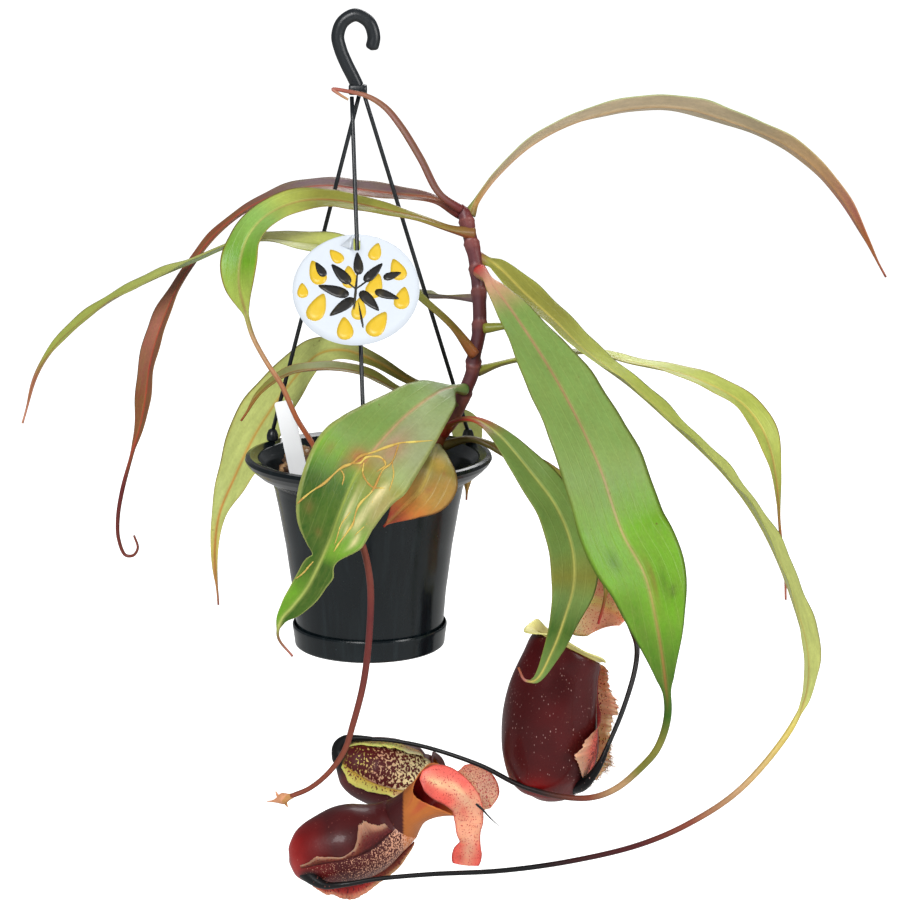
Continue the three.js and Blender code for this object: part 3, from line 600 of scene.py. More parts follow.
# %% Black plastics
hanger_black = material("hanger_black", moulded_plastic, {
    "Colour": (0.010, 0.013, 0.016, 1), "Dust and Sheen": 0.05, "Gloss": 0.30},
    relief=0.15, Specular_IOR_Level=0.4)
# On the pot, the bluish dust in upright streaks is partly painted reflection.
pot_black = material("pot_black", moulded_plastic, {
    "Colour": (0.004, 0.007, 0.009, 1), "Dust and Sheen Colour": (0.12, 0.18, 0.20, 1), "Dust and Sheen": 0.08,
    "Gloss": 0.14}, relief=0.06, Specular_IOR_Level=0.3)

# %% Hook
HOOK_LINE = [[10, 0, -16.5], [11.6, 0, -8.5], [8.6, 0, 0], [1, 0, 4.1], [-6.6, 0, 0],
             [-9.6, 0, -8], [-8.2, 0, -15.5], [-4.8, 0, -24], [-0.8, 0, -32], [1.8, 0, -37.5]]
HOOK_BAR_RADIUS = 3.9


def squared(values, power):
    """A sine or cosine raised to a small power with its sign kept: a circle goes to a square."""
    return np.sign(values) * np.abs(values) ** power


def rounded_block(centre, half, corner, levels=9):
    """Rounded squares stacked upward: x and y follow |cos| and |sin| to a small power, and the
    stack draws in near its two ends by a quarter circle of the corner's radius."""
    angle = circle(32)
    square = np.stack([squared(np.cos(angle), 0.35), squared(np.sin(angle), 0.35)], -1)
    turn = np.linspace(-np.pi / 2, np.pi / 2, levels)
    z = np.sign(turn) * (half[2] - corner) + corner * np.sin(turn)
    reach = np.array(half[:2])[None] - (corner * (1 - np.cos(turn)))[:, None]
    flat = square[None] * reach[:, None]
    return np.concatenate([flat, np.broadcast_to(z[:, None, None], (*flat.shape[:2], 1))],
                          -1) + centre


def hook_radius(share):
    """The bar's radius: full, with a rounded nose over its first few hundredths."""
    return HOOK_BAR_RADIUS * np.sqrt(np.clip(1 - (1 - np.clip(share / 0.035, 0, 1)) ** 2, 0.02, 1))


build("hook_crook", [skin(tube(HOOK_LINE, hook_radius, 24, 10)),
                     skin(rounded_block([2, 0, -39.5], [5.5, 4.5, 3], 1.1))],
      hanger_black, ["hanger_hook"])

# %% Strands and their pegs
STRANDS = {"front": ([-1.5, -3, -43.5], -90), "left": ([2.5, 3, -43.5], 150),
           "right": ([6, 0, -43.5], 30)}
STRAND_RADIUS, STRAND_FOOT_Z, PEG_Z, PEG_CIRCLE = 1.25, -253, -259, 70
PEG = [[0, -16], [1.0, -16], [1.4, -15.6], [2.2, -12.5], [2.6, -11.2], [2.2, -10.8],
       [1.7, -10.5], [1.7, 0.2], [3.0, 0.5], [3.5, 0.9], [3.65, 2.2], [3.6, 4], [3.3, 5.2],
       [2.5, 7.2], [1.5, 7.9], [0, 8]]
for side, (top, turn) in STRANDS.items():
    turn = math.radians(turn)
    x, y = POT_X + PEG_CIRCLE * math.cos(turn), PEG_CIRCLE * math.sin(turn)
    line = np.array([towards(np.array(top), np.array([x, y, STRAND_FOOT_Z]), t)
                     for t in (0, 0.25, 0.5, 0.75, 1)])
    peg = turned([[r, z + PEG_Z] for r, z in PEG], x, y, 24)
    build(f"strand_{side}_cord", [skin(tube(line, lambda share: STRAND_RADIUS + 0 * share, 10, 4)),
                                  skin(peg)], hanger_black, [f"strand_{side}"])

# %% [markdown]
# ## Pot, saucer and bark mix
# The pot is thin glossy plastic: nearly straight low down, flaring to a rolled rim. A turned
# skin is the natural way, as the real one comes off a round mould. Rounding the profile's
# corners with extra points makes the rim catch a bright line. The mix is a lumpy disc with bark
# chips, white perlite and a few green scraps strewn over it, each a knobbly lump of few faces.

# %% Pot and saucer


def rounded(profile, steps=5):
    """The profile with softened corners: a smooth curve through three points for each edge."""
    p = np.asarray(profile, float)
    a, b = p[:-1], p[1:]
    knots = np.stack([towards(a, b, t) for t in (0.0, 0.3, 0.7)], 1).reshape(-1, 2)[1:]
    flat = np.concatenate([knots, np.zeros((len(knots), 1))], 1)
    keep = through(flat, steps_along(knots, steps))[:, :2]
    return np.concatenate([p[:1], np.maximum(keep, [0, -1e9]), p[-1:]])


POT_OUTER = [[42, -376], [44.5, -374.5], [47, -345], [51, -315], [55, -292], [57.4, -280],
             [58.6, -275.6], [62, -273.2], [66.5, -270.8], [70.5, -267.4], [73.6, -264.2],
             [75, -261.6], [74.4, -259.6], [72, -259]]
POT_INNER = [[67, -260.6], [62.3, -266], [58.3, -276], [53.4, -292], [49.4, -315],
             [45.4, -345], [43, -373]]
SAUCER = [[0, -378.5], [44.5, -378.5], [45.9, -377.5], [47.5, -365.5], [47.1, -364.5],
          [46.6, -364.5], [45.3, -376.5], [0, -376.5]]
pot_profile = rounded([[0, -376]] + POT_OUTER + POT_INNER + [[0, -374]])
build("pot_shell", [skin(turned(pot_profile, sides=144))], pot_black, ["pot"])
build("saucer_dish", [skin(turned(rounded(SAUCER, 3), sides=144))], pot_black, ["saucer"])

# %% Bark, perlite and moss
bark_brown, bark_tan, perlite_white, moss_green = (
    material(name, bark, {"Dark": dark, "Light": light}, relief, height)
    for name, dark, light, relief, height in (
        ("bark_brown", rgb("soot"), rgb("brown", 1.2), 0.9, 0.0015),
        ("bark_tan", rgb("brown", 0.7), rgb("tan"), 0.9, 0.0015),
        ("perlite_white", rgb("tan", 1.3), (0.85, 0.84, 0.8, 1), 0.8, 0.001),
        ("moss_green", rgb("deep"), rgb("lime"), 0.9, 0.001)))
draw = np.random.default_rng(11)


def heap(x, y):
    """The mix is heaped up 13 mm at the left: a bell of distance from (-26, 16)."""
    return 13 * hump(np.hypot(x + 26, y - 16) / 34)


def lumps(count, low, high, reach, level):
    """Knobbly chips: stretched spheres of 5 x 8 points, each point pushed in or out a little,
    turned by a drawn rotation and dropped on the mix at a drawn place."""
    rise, turn = np.linspace(-1.2, 1.2, 5)[None, :, None], circle(8)[None, None]
    ball = np.stack(np.broadcast_arrays(np.cos(rise) * np.cos(turn), np.cos(rise) * np.sin(turn),
                                        np.sin(rise)), -1)
    push = 1 + 0.22 * draw.standard_normal((count, 5, 8, 1))
    size = low + (high - low) * draw.random((count, 1, 1, 3)) * [1, 0.75, 0.5]
    a, b = draw.random((2, count)) * 2 * np.pi
    tilt = np.stack([np.cos(a) * np.cos(b), -np.sin(a), np.cos(a) * np.sin(b),
                     np.sin(a) * np.cos(b), np.cos(a), np.sin(a) * np.sin(b),
                     -np.sin(b) * 0.5, 0 * a, np.cos(b) + 1.2], -1).reshape(count, 3, 3)
    tilt = np.linalg.qr(tilt)[0]
    r, q = reach * np.sqrt(draw.random(count)), draw.random(count) * 2 * np.pi
    x, y = POT_X + r * np.cos(q), r * np.sin(q)
    place = np.stack([x, y, level + heap(x, y) + 1.5 * draw.random(count)], -1)
    return np.einsum("kab,kijb->kija", tilt, ball * push * size) + place[:, None, None]


def mix_top(radius, turn):
    """Height of the mix: the heap, and two crossed waves 1.6 mm high over its level."""
    x, y = radius * np.cos(turn), radius * np.sin(turn)
    return 1.6 * np.sin(x / 4.1 + 1) * np.cos(y / 3.7) + heap(POT_X + x, y)


# %% Bark mix
MIX_TOP_Z = -277
MIX_WALL = [[41.5, -372.5], [44.2, -345], [48.2, -315], [52.2, -292], [57.0, -277.6]]
MIX_RINGS = [55, 50, 44, 38, 33, 27, 22, 16, 11, 5]
mix_profile = np.array(MIX_WALL + [[radius, MIX_TOP_Z] for radius in MIX_RINGS])
mix_grid = turned(mix_profile, sides=72)
top_rows = slice(len(MIX_WALL), None)
mix_grid[top_rows, :, 2] += mix_top(mix_profile[top_rows, :1], circle(72)[None])
build("bark_mix_bed", [skin(mix_grid)], bark_brown, ["soil"])
for name, finish, *chips in (("bark_chips_dark", bark_brown, 120, 1.8, 6.0, 52, -276.5),
                             ("bark_chips_tan", bark_tan, 90, 1.8, 5.6, 52, -275.5),
                             ("perlite_grains", perlite_white, 70, 0.9, 2.2, 52, -273.0),
                             ("moss_scraps", moss_green, 60, 0.7, 1.8, 53, -273.0)):
    build(name, [skin(lumps(*chips))], finish)

# %% [markdown]
# ## Tag and stake label
# The tag is a thin white card disc that leans on the front strand, with a slot at its top. The
# print on it is a generic one: a dark sprig and a few yellow drops. The print is made of thin
# flat shapes a tenth of a millimetre proud of the card, because a painted pattern on a coarse
# disc would have soft edges. The stake is a bare white strip with rounded corners.

# %% White plastics and inks
card_white, stake_white, ink_yellow, ink_dark = (
    material(name, moulded_plastic, {"Colour": colour, "Dust and Sheen Colour": dust_and_sheen_colour, "Dust and Sheen": dust_and_sheen,
                                     "Gloss": gloss}, relief=relief)
    for name, colour, dust_and_sheen_colour, dust_and_sheen, gloss, relief in (
        ("card_white", (0.66, 0.71, 0.77, 1), (0.5, 0.5, 0.5, 1), 0.10, 0.28, 0.05),
        ("stake_white", (0.93, 0.94, 0.96, 1), (0.5, 0.46, 0.4, 1), 0.18, 0.33, 0.1),
        ("ink_yellow", (0.72, 0.47, 0.02, 1), rgb("lemon"), 0.25, 0.35, 0.1),
        ("ink_dark", rgb("ink", 2.0), rgb("drab"), 0.25, 0.35, 0.1)))

# %% Tag card
TAG_CENTRE, TAG_LEAN = np.array([1.8, -50.0, -151]), math.radians(38)
TAG_RADIUS, TAG_HALF_THICK = 37, 0.4
SLOT_HALF_X, SLOT_HALF_Z, SLOT_UP = 2.0, 4.6, 30.6


def on_tag(across, up, out):
    """A point on the leaning card: across, up its face, and out of it towards the viewer."""
    y = -out * math.cos(TAG_LEAN) + up * math.sin(TAG_LEAN)
    z = up * math.cos(TAG_LEAN) + out * math.sin(TAG_LEAN)
    return np.stack(np.broadcast_arrays(across, y, z), -1) + TAG_CENTRE


def card(rings=14, sides=160):
    """A disc with a slot: front, edge, back and slot wall in one looped skin. At each angle the
    radius runs from the slot's edge to the rim, on the front and then on the back."""
    turn = circle(sides)
    middle = np.array([0.0, SLOT_UP])
    ray = np.stack([np.sin(turn), np.cos(turn)], -1)
    inner = 1 / (np.abs(ray / [SLOT_HALF_X, SLOT_HALF_Z]) ** 5).sum(axis=1) ** 0.2
    dot = ray @ middle
    outer = -dot + np.sqrt(dot**2 - middle @ middle + TAG_RADIUS**2)
    share = np.linspace(0, 1, rings)[:, None]
    reach = towards(inner, outer, share)
    x, z = middle[0] + ray[:, 0] * reach, middle[1] + ray[:, 1] * reach
    thick = TAG_HALF_THICK * np.sqrt(np.clip(1 - (2 * share - 1) ** 16, 0, 1)) + 0 * x
    return np.concatenate([on_tag(x, z, thick), on_tag(x, z, -thick)[::-1]])


def folded_flap():
    """The slot's bent flap: a small wedge that lifts off the card towards its loose end."""
    root, corners = np.array([-9.5, 29.0]), np.array([[-2.4, 34.5], [-3.4, 25.5]])
    lift = 0.5 + np.linspace(0, 2.4, 7) ** 1.3
    return np.stack([on_tag(*np.linspace(root, corners[k], 7).T, h + lift)
                     for k, h in ((0, 0.3), (0, -0.3), (1, -0.3), (1, 0.3))], 1)


build("tag_card", [skin(card(), looped=True)], card_white, ["round_tag"])
build("tag_flap", [skin(folded_flap())], card_white)

# %% Print on the tag


def print_shape(outlines, out):
    """Thin flat shapes on the card, from outlines shaped (pieces, points, 2)."""
    flat = np.asarray(outlines, float)
    middle = flat.mean(axis=1, keepdims=True)
    rows = [middle + (flat - middle) * s for s in (0.02, 0.5, 1.0, 1.0, 0.5, 0.02)]
    depth = [out + 0.06, out + 0.06, out + 0.05, out - 0.06, out - 0.1, out - 0.1]
    return np.stack([on_tag(r[..., 0], r[..., 1], d) for r, d in zip(rows, depth)], axis=1)


def drops(rows):
    """Drop outlines from rows of x, z, length, width and turn in degrees: an oval whose width
    is drawn in towards one end."""
    x, z, length, width, turn = np.array(rows, float).T[..., None]
    t = circle(20)
    u = length * np.cos(t) / 2
    v = width * np.sin(t) / 2 * (1 - 0.45 * np.cos(t))
    a = np.radians(turn)
    spun = np.stack([u * np.cos(a) - v * np.sin(a), u * np.sin(a) + v * np.cos(a)], -1)
    return spun + np.stack([x, z], -1)


YELLOW_DROPS = [
    (-23, 11, 17, 9, 110), (-22, -12, 19, 10, 70), (-6, -26, 15, 9, 95), (13, -23, 18, 10, 60),
    (27, -6, 15, 8.5, 80), (24, 13, 15, 8.5, 110), (11, 25, 12, 7, 75), (-4, 8, 15, 8.5, 95),
    (11, 2, 17, 9, 75), (-12, 22, 11, 6.5, 130), (-31, -1, 10, 6, 95), (2, -13, 15, 8, 85)]
SPRIG_LEAVES = [
    (-13, -1, 19, 6.6, 160), (-9, 10, 17, 6.2, 130), (1, 17, 15, 5.4, 95), (10, 11, 16, 5.6, 50),
    (-8, -12, 18, 6.2, 220), (8, -8, 17, 6.2, 310), (18, -4, 15, 5.2, 340),
    (-21, 13, 11, 4.8, 120), (21, 9, 11, 4.8, 20)]
SPRIG_STALKS = [
    (0, 1, 30, 1.4, 86), (3, -17, 18, 1.2, 100), (-6, 5, 17, 1, 140), (6, 5, 17, 1, 40)]
build("tag_yellow_drops", [skin(print_shape(drops(YELLOW_DROPS), 0.42))], ink_yellow)
build("tag_dark_sprig", [skin(print_shape(drops(SPRIG_LEAVES + SPRIG_STALKS), 0.50))], ink_dark)

# %% Stake label
STAKE_CENTRE = np.array([-34.5, -31, -261])


def strip(width, thick, length, corner=1.6, lean=-0.2, bow=1.2):
    """A flat strip: a slim rounded rectangle carried up a line that leans and bows a little.
    Its width follows a quarter circle over the last millimetre and a half at each end."""
    z = length / 2 * np.sin(np.linspace(-np.pi / 2, np.pi / 2, 60))
    end = np.clip((length / 2 - np.abs(z)) / corner, 0.02, 1)
    half = width / 2 - corner * (1 - np.sqrt(1 - (1 - end) ** 2))
    turn, z = circle(24), z[:, None]
    x = half[:, None] * squared(np.cos(turn), 0.3)
    y = thick / 2 * squared(np.sin(turn), 0.6) + 0 * x + bow * (z / length) ** 2
    spun_x = x * math.cos(lean) + z * math.sin(lean)
    spun_z = -x * math.sin(lean) + z * math.cos(lean)
    return np.stack([spun_x, y, spun_z], -1) + STAKE_CENTRE


build("stake_strip", [skin(strip(11, 0.9, 82))], stake_white, ["stake_label"])

# %% [markdown]
# ## Stem
# The vine is a woody stem the width of a pencil. Each leaf that fell has left a slanting scar
# with a raised lip. The skin is a ring carried up the stem's line whose radius swells at each
# scar, more on one side than the other, so that the lip slants. Its tint goes from orange-brown
# at the foot to dark purple-brown above. A plum band down the side that faces the left softbox
# and the camera is painted sheen.

# %% Vine
STEM_LINE = [[48, -2, -283], [49, 0, -251], [55, 0, -242], [61, 1, -232], [66, 2, -220],
             [70, 2, -209], [71, 2, -199], [74, 2, -184], [74, 2, -165], [73, 2, -152],
             [71, 2, -138], [68, 2, -126], [65, 2, -113], [62.5, 1.5, -108.5]]
STEM_RADIUS, STEM_SIDES, STEM_STEPS = 4.15, 32, 14
LEAF_SCARS = [-238, -222, -203, -180, -160, -146, -131, -118]
LOWER_SCARS_BELOW = -190
leaf_skin = material("leaf_skin", leaf_tissue, {"Gloss": 0.36, "Vein": 0.10, "Mottle": 0.2},
                     Specular_IOR_Level=0.3)
stem_skin = material("stem_skin", leaf_tissue, {"Gloss": 0.42, "Vein": 0.0, "Mottle": 0.10},
                     relief=0.5, relief_height=0.0006, Specular_IOR_Level=0.4)
places = steps_along(STEM_LINE, STEM_STEPS)
centre = through(STEM_LINE, places)
z, angle = centre[:, None, 2], circle(STEM_SIDES)
bare = tube(STEM_LINE, lambda share: 1 + 0 * share, STEM_SIDES, STEM_STEPS)
slant = z + 2.6 * np.sin(angle)[None] * np.where(z > LOWER_SCARS_BELOW, 1, -1)
lip = sum(hump((slant - scar) / 1.1) + 0.7 * hump((slant - scar + 2.6) / 2.2)
          for scar in LEAF_SCARS)
taper = 1 - 0.55 * smooth(places[-1] - 1.2, places[-1], places)
girth = STEM_RADIUS * taper[:, None] + 0.75 * lip + 0.12 * np.sin(5 * angle)[None] * np.sin(z / 3)
stem_grid = centre[:, None] + (bare - centre[:, None]) * girth[..., None]
stem_tint = blend_of("2 rust, 2.8 red_brown, 3.8 wine, 6 maroon, 9 maroon, 10 wine", places)
# Painted sheen: the side that faces the left softbox and the camera is blended towards plum.
painted_sheen = 0.4 * smooth(0.3, 0.9, np.sin(angle + 2.4))[None, :, None]
stem_tint = towards(stem_tint[:, None] * np.ones((1, STEM_SIDES, 1)), INK["plum"], painted_sheen * 0.7)
stem_tint = towards(stem_tint, INK["rose"], (0.3 * np.clip(lip, 0, 1))[..., None])
stem_lay = np.stack(np.broadcast_arrays(0.02 * np.sin(angle), z * MM, 0 * lip), -1)
build("vine_stem", [skin(stem_grid, tint=stem_tint, lay=stem_lay)], stem_skin, ["stem"])

# %% [markdown]
# ## Leaves
# Each leaf is one sheet of tissue from its petiole to the tip of its tendril: a round stalk that
# spreads into a folded blade and draws in again to a wire. A flat plane bent by hand would not
# keep its thickness, so the leaf is a closed skin. Its section is worked out at each place on
# the rib: a circle where the leaf is stalk, and where it is blade, two shallow halves with a
# raised rib below, a groove above and a thin waved edge. The rib points, half widths and facing
# directions are close to the solids' own.

# %% The plant's leaves, as rib points, half widths, facing and fold
LEAVES = {
    "leaf_01_rolled_young": {
        "rib": [[63, 1, -111], [50, 0, -101], [39, -4, -80], [27, -8, -60], [18, -11, -49],
                [7, -14, -42], [-5, -16, -39], [-12, -17, -38], [-8, -18, -41], [-3, -18, -44]],
        "half": [0, 2.2, 2.4, 2.3, 2.1, 1.6], "face": [[0, -1, 0.4]], "fold": 30,
        "rods": [2.2, 0.7]},
    "leaf_02_right_arch": {
        "rib": [[68, 4, -114], [72, 6, -106], [84, 8, -91], [103, 12, -74], [125, 16, -62],
                [152, 20, -54], [179, 24, -51], [201, 26, -53], [218, 28, -58], [238, 30, -65],
                [258, 32, -74], [277, 34, -88], [296, 36, -109], [310, 38, -132], [324, 40, -157]],
        "half": [0, 3, 6, 9, 11.5, 13.5, 14.5, 14, 13, 12, 11, 9, 6.5, 3], "fold": 9,
        "rods": [3, 0.7], "wave": 0.3,
        "face": [[-0.3, 0.34, 0.9], [0, 0.42, 0.9], [0.3, 0.34, 0.9]]},
    "leaf_03_left_red": {
        "rib": [[63, 4, -113], [46, 13, -106], [26, 20, -104], [6, 23, -102], [-16, 26, -99.5],
                [-34, 26, -101], [-54, 26, -107], [-72, 24, -117], [-87, 22, -130],
                [-101, 20, -148], [-111, 18, -165], [-120, 16, -186], [-126, 14, -207],
                [-129, 12, -228], [-133, 10, -247], [-138, 9, -262], [-144, 8, -283],
                [-147, 6, -300], [-147, 6, -314], [-143, 5, -324], [-138, 4, -324],
                [-135, 3, -319], [-137, 2, -311]],
        "half": [0, 4.5, 7, 8.5, 9.5, 9.5, 8.5, 7, 6.5, 7, 10, 13, 13.5, 10, 5, 2], "fold": 12,
        "rods": [3.2, 0.7],
        "face": [[0, -0.6, 1], [-0.3, -0.2, 1], [-0.8, -0.4, 0.5], [-0.8, -0.7, 0.2]]},
    "leaf_04_left_green": {
        "rib": [[70, 1, -125], [56, -6, -121], [39, -9, -115], [15, -9, -109], [0, -8, -106],
                [-15, -7, -104], [-33, -7, -105], [-51, -12, -112], [-62, -20, -123],
                [-67, -24, -137], [-68, -26, -152], [-64, -28, -169], [-60, -31, -182],
                [-52, -36, -196], [-43, -44, -208], [-33, -58, -226], [-23, -74, -238],
                [-13, -90, -253], [-2, -94, -275], [6, -92, -294], [10, -90, -315],
                [10, -88, -339], [6, -84, -377], [-1, -80, -406], [-6, -78, -422],
                [-15, -76, -436], [-27, -74, -447], [-39, -72, -453]],
        "half": [0, 2.8, 4, 6, 8, 9, 10, 11, 12, 12, 9, 2], "fold": 10, "rods": [3, 1.4],
        "stalk": [3, 2.9, 2.8, 2.7, 2.6, 2.5, 2.4, 2.3, 2.1, 1.9, 1.7, 1.5, 1.45, 1.45, 1.5, 1.55,
                  1.6, 1.7, 1.9, 2, 2, 2, 2, 1.9, 1.7, 1.6, 1.5, 1.4],
        "face": [[0, -0.5, 0.9], [-0.2, -0.5, 0.9], [-0.5, -0.8, 0.5], [0.2, -1, 0]]},
    "leaf_05_left_pale": {
        "rib": [[71, -1, -198], [58, -6, -180], [41, -8, -164], [27, -8, -151], [9, -6, -139],
                [-12, -3, -133], [-33, -3, -130], [-55, -2, -128], [-75, 0, -132], [-95, 4, -141],
                [-122, 8, -153], [-149, 10, -167], [-175, 10, -187], [-187, 9, -200],
                [-195, 7, -214], [-203, 2, -241]],
        "half": [0, 2.6, 3, 4, 8, 11, 12, 11, 10, 10, 11, 11, 9, 6, 3], "fold": 10,
        "rods": [2.8, 0.7],
        "face": [[-0.3, -0.5, 0.9], [0, -0.6, 0.9], [0, 0, 1], [-0.4, -0.2, 0.9],
                 [-0.6, -0.4, 0.8]]},
    "leaf_06_back_left": {
        "rib": [[65, 6, -227], [50, 14, -224], [32, 24, -219], [10, 34, -208], [-9, 42, -203],
                [-24, 48, -206], [-37, 57, -219], [-55, 64, -243], [-68, 68, -264],
                [-80, 68, -289], [-90, 65, -313], [-93, 61, -338], [-91, 57, -370]],
        "half": [0, 3, 3.5, 4.5, 7, 11, 16, 20, 19, 13, 5.5, 3], "fold": 10, "rods": [2.8, 0.7],
        "face": [[-0.2, -0.4, 0.9], [-0.7, -0.6, 0.5], [-0.5, -0.8, 0.3], [-0.5, -0.8, 0]]},
    "leaf_07_olive_arch": {
        "rib": [[62, 0, -229], [44, 2, -229], [24, 5, -221], [5, 8, -212], [-10, 9, -209],
                [-24, 10, -209], [-41, 12, -212], [-58, 12, -223], [-71, 10, -241]],
        "half": [0, 2.6, 4, 6, 7, 7, 6, 3.5], "face": [[0, -0.25, 1]], "fold": 20,
        "rods": [2.4, 0.7]},
    "leaf_08_back_short": {
        "rib": [[76, 5, -165], [59, 14, -165], [43, 34, -168], [28, 60, -169], [15, 90, -173],
                [4, 120, -181]], "half": [0, 2.6, 8, 13, 9], "face": [[0.1, 0.1, 1]], "fold": 12,
        "rods": [2.6, 0.7]},
    "leaf_09_front_scarred": {
        "rib": [[65, -3, -219], [56, -16, -216], [47, -36, -216], [29, -68, -224], [12, -94, -238],
                [3, -104, -249], [-6, -112, -269], [-11, -113, -283], [-16, -112, -295],
                [-20, -110, -304], [-26, -106, -316], [-34, -103, -327], [-41, -100, -336],
                [-43, -98, -347], [-35, -96, -359]],
        "half": [0, 5, 15, 24, 29, 30, 27, 20, 9, 9, 9, 7, 3], "fold": 6, "rods": [2.8, 0.7],
        "bites": [(6, -1, 0.9, 0.2), (2.7, 1, 1.1, 0.26), (9, -1, 0.4, -0.2), (8.1, 1, 0.25, 0.3)],
        "face": [[0.4, -0.4, 0.9], [0.4, -0.8, 0.5], [0.1, -1, 0.2], [0, -1, 0]]},
    "leaf_10_old_yellow": {
        "rib": [[49, -4, -255], [49, -38, -247], [48, -68, -244], [45, -84, -250], [40, -88, -261],
                [31, -88, -271], [18, -86, -284]], "half": [0, 2.4, 7, 13, 15, 10],
        "face": [[0.2, -0.6, 0.8], [0.5, -0.9, 0.4]], "fold": 4, "rods": [2.2, 0.7],
        "bites": [(3.2, -1, 1.3, -0.3)]},
    "leaf_11_right_front": {
        "rib": [[74, -2, -147], [81, -14, -153], [100, -34, -177], [122, -56, -210],
                [142, -74, -249], [156, -84, -288], [169, -88, -312], [176, -90, -339],
                [182, -90, -375], [184, -88, -397], [179, -80, -420], [169, -72, -436],
                [155, -62, -452], [141, -54, -460], [123, -46, -462], [99, -34, -459],
                [75, -20, -451], [38, -6, -443], [13, 0, -441], [-5, 4, -443]],
        "half": [0, 5.5, 15, 24, 28, 28, 25, 17, 5], "fold": 8, "rods": [3.4, 1.1],
        "face": [[0.5, -0.8, 0.5], [0.5, -0.8, 0.4], [0.2, -1, 0.2], [-0.3, -1, 0]]},
    "leaf_12_far_right": {
        "rib": [[73, 4, -140], [84, 4, -145], [101, 0, -161], [119, -4, -177], [138, -8, -195],
                [165, -10, -215], [192, -12, -239], [221, -13, -267], [240, -13, -292],
                [255, -12, -320], [267, -12, -351], [274.5, -12, -377], [276, -13, -392],
                [274, -14, -410], [265, -18, -429], [234, -30, -463], [203, -40, -481],
                [172, -48, -492], [129, -58, -499], [87, -66, -502], [44, -72, -502],
                [11, -75, -504], [-8, -76, -507], [-20, -71, -510], [-27, -65, -507]],
        "half": [0, 6, 12, 15.5, 16.5, 16, 15, 15, 17, 19, 19, 18, 12, 5], "fold": 12,
        "rods": [3.2, 1.1],
        "face": [[0.5, -0.7, 0.6], [0.65, -0.15, 0.75], [0.66, -0.05, 0.74], [0.75, -0.3, 0.6],
                 [0.7, -0.7, 0.2]]},
    "leaf_13_right_hanging": {
        "rib": [[73, 3, -209], [87, 8, -205], [99, 12, -203], [120, 16, -201], [143, 18, -200],
                [166, 18, -206], [193, 18, -212], [215, 18, -220], [234, 18, -231],
                [246, 18, -245], [253, 18, -261], [257, 18, -280], [259, 18, -297],
                [261, 18, -317], [264, 18, -337], [265, 18, -356]],
        "half": [0, 2.5, 2.6, 4, 6, 8, 9, 10, 12, 12, 9, 5, 2], "fold": 12, "rods": [2.6, 0.7],
        "face": [[0, 0, 1], [0.1, -0.1, 1], [0.5, -0.6, 0.7], [0.8, -0.6, 0.2]]},
    "leaf_14_lower_right": {
        "rib": [[53, -2, -246], [57, -12, -238], [64, -20, -234], [73, -30, -233], [84, -42, -238],
                [103, -54, -258], [119, -60, -279], [128, -64, -302], [129, -66, -324],
                [124, -66, -344], [117, -66, -364], [107, -64, -383], [101, -61, -384],
                [97, -58, -377]], "half": [0, 2.4, 2.6, 3.4, 6, 11, 14, 15, 14, 9.5, 6, 2.5],
        "fold": 8, "rods": [2.6, 0.7],
        "face": [[0.4, -0.7, 0.7], [0.4, -0.8, 0.4], [0.2, -1, 0], [0.4, -0.9, 0]]},
    "leaf_15_behind_pot": {
        "rib": [[59, 3, -234], [53, 18, -239], [51, 34, -241], [56, 50, -244], [63, 67, -251],
                [67, 84, -262], [68, 93, -282], [67, 94, -310]],
        "half": [0, 2.5, 2.6, 6, 9, 10, 7], "face": [[0, 0, 1], [0, 0.8, 0.6], [0, 1, 0]],
        "fold": 8, "rods": [2.4, 0.7]},
    "leaf_16_behind_front": {
        "rib": [[77, -1, -182], [94, -6, -180], [113, -12, -187], [131, -22, -213],
                [144, -32, -244], [150, -40, -279], [153, -45, -308], [150, -48, -329],
                [148, -48, -341], [145, -47, -353]], "half": [0, 2.6, 7, 12, 15, 13, 9, 3],
        "fold": 10, "rods": [2.5, 0.8],
        "face": [[0.3, -0.4, 0.9], [0.6, -0.8, 0.4], [0.2, -1, 0]]},
    "leaf_17_low_right": {
        "rib": [[51, 1, -255], [69, 3, -251], [91, 6, -261], [108, 8, -270], [126, 10, -286],
                [141, 12, -310], [154, 10, -338], [162, 4, -356], [168, -2, -369], [171, -8, -378],
                [170, -12, -391], [162, -24, -414], [153, -35, -432], [147, -38, -445],
                [140, -35, -457], [132, -28, -466]], "half": [0, 2.6, 5, 9, 11, 11, 8, 3],
        "fold": 10, "rods": [2.6, 1.1],
        "face": [[0.5, -0.5, 0.8], [0.7, -0.6, 0.4], [0.3, -1, 0.1]]},
}
print(len(LEAVES), "leaves")

# %% Sections of a leaf
COLUMNS = 25


def arc_length(line):
    """Distance from the start of a line of points to each of them."""
    return np.concatenate([[0], np.cumsum(np.linalg.norm(np.diff(line, axis=0), axis=1))])


def leaf_rib(spec, places):
    """The rib's centre, its sideways and upward directions, stalk radius, half width and spread.

    The spread is 0 where the leaf is a stalk, and 1 where it is twice as wide as its stalk.
    """
    spans = len(spec["rib"]) - 1
    centre = through(spec["rib"], places)
    along = ahead_at(spec["rib"], places)
    face = facing(spec["face"], (places - 1) / max(len(spec["half"]) - 1, 1))
    side = unit(np.cross(along, face))
    foot, tip = spec["rods"]
    stalk = foot + (tip - foot) * places / spans
    if "stalk" in spec:
        stalk = flowing(spec["stalk"], places)
    stalk = stalk * (1 + 0.3 * hump(places / 0.6))
    half = flowing(spec["half"], places)
    return centre, side, np.cross(side, along), stalk, half, np.clip(half / (2 * stalk), 0, 1)


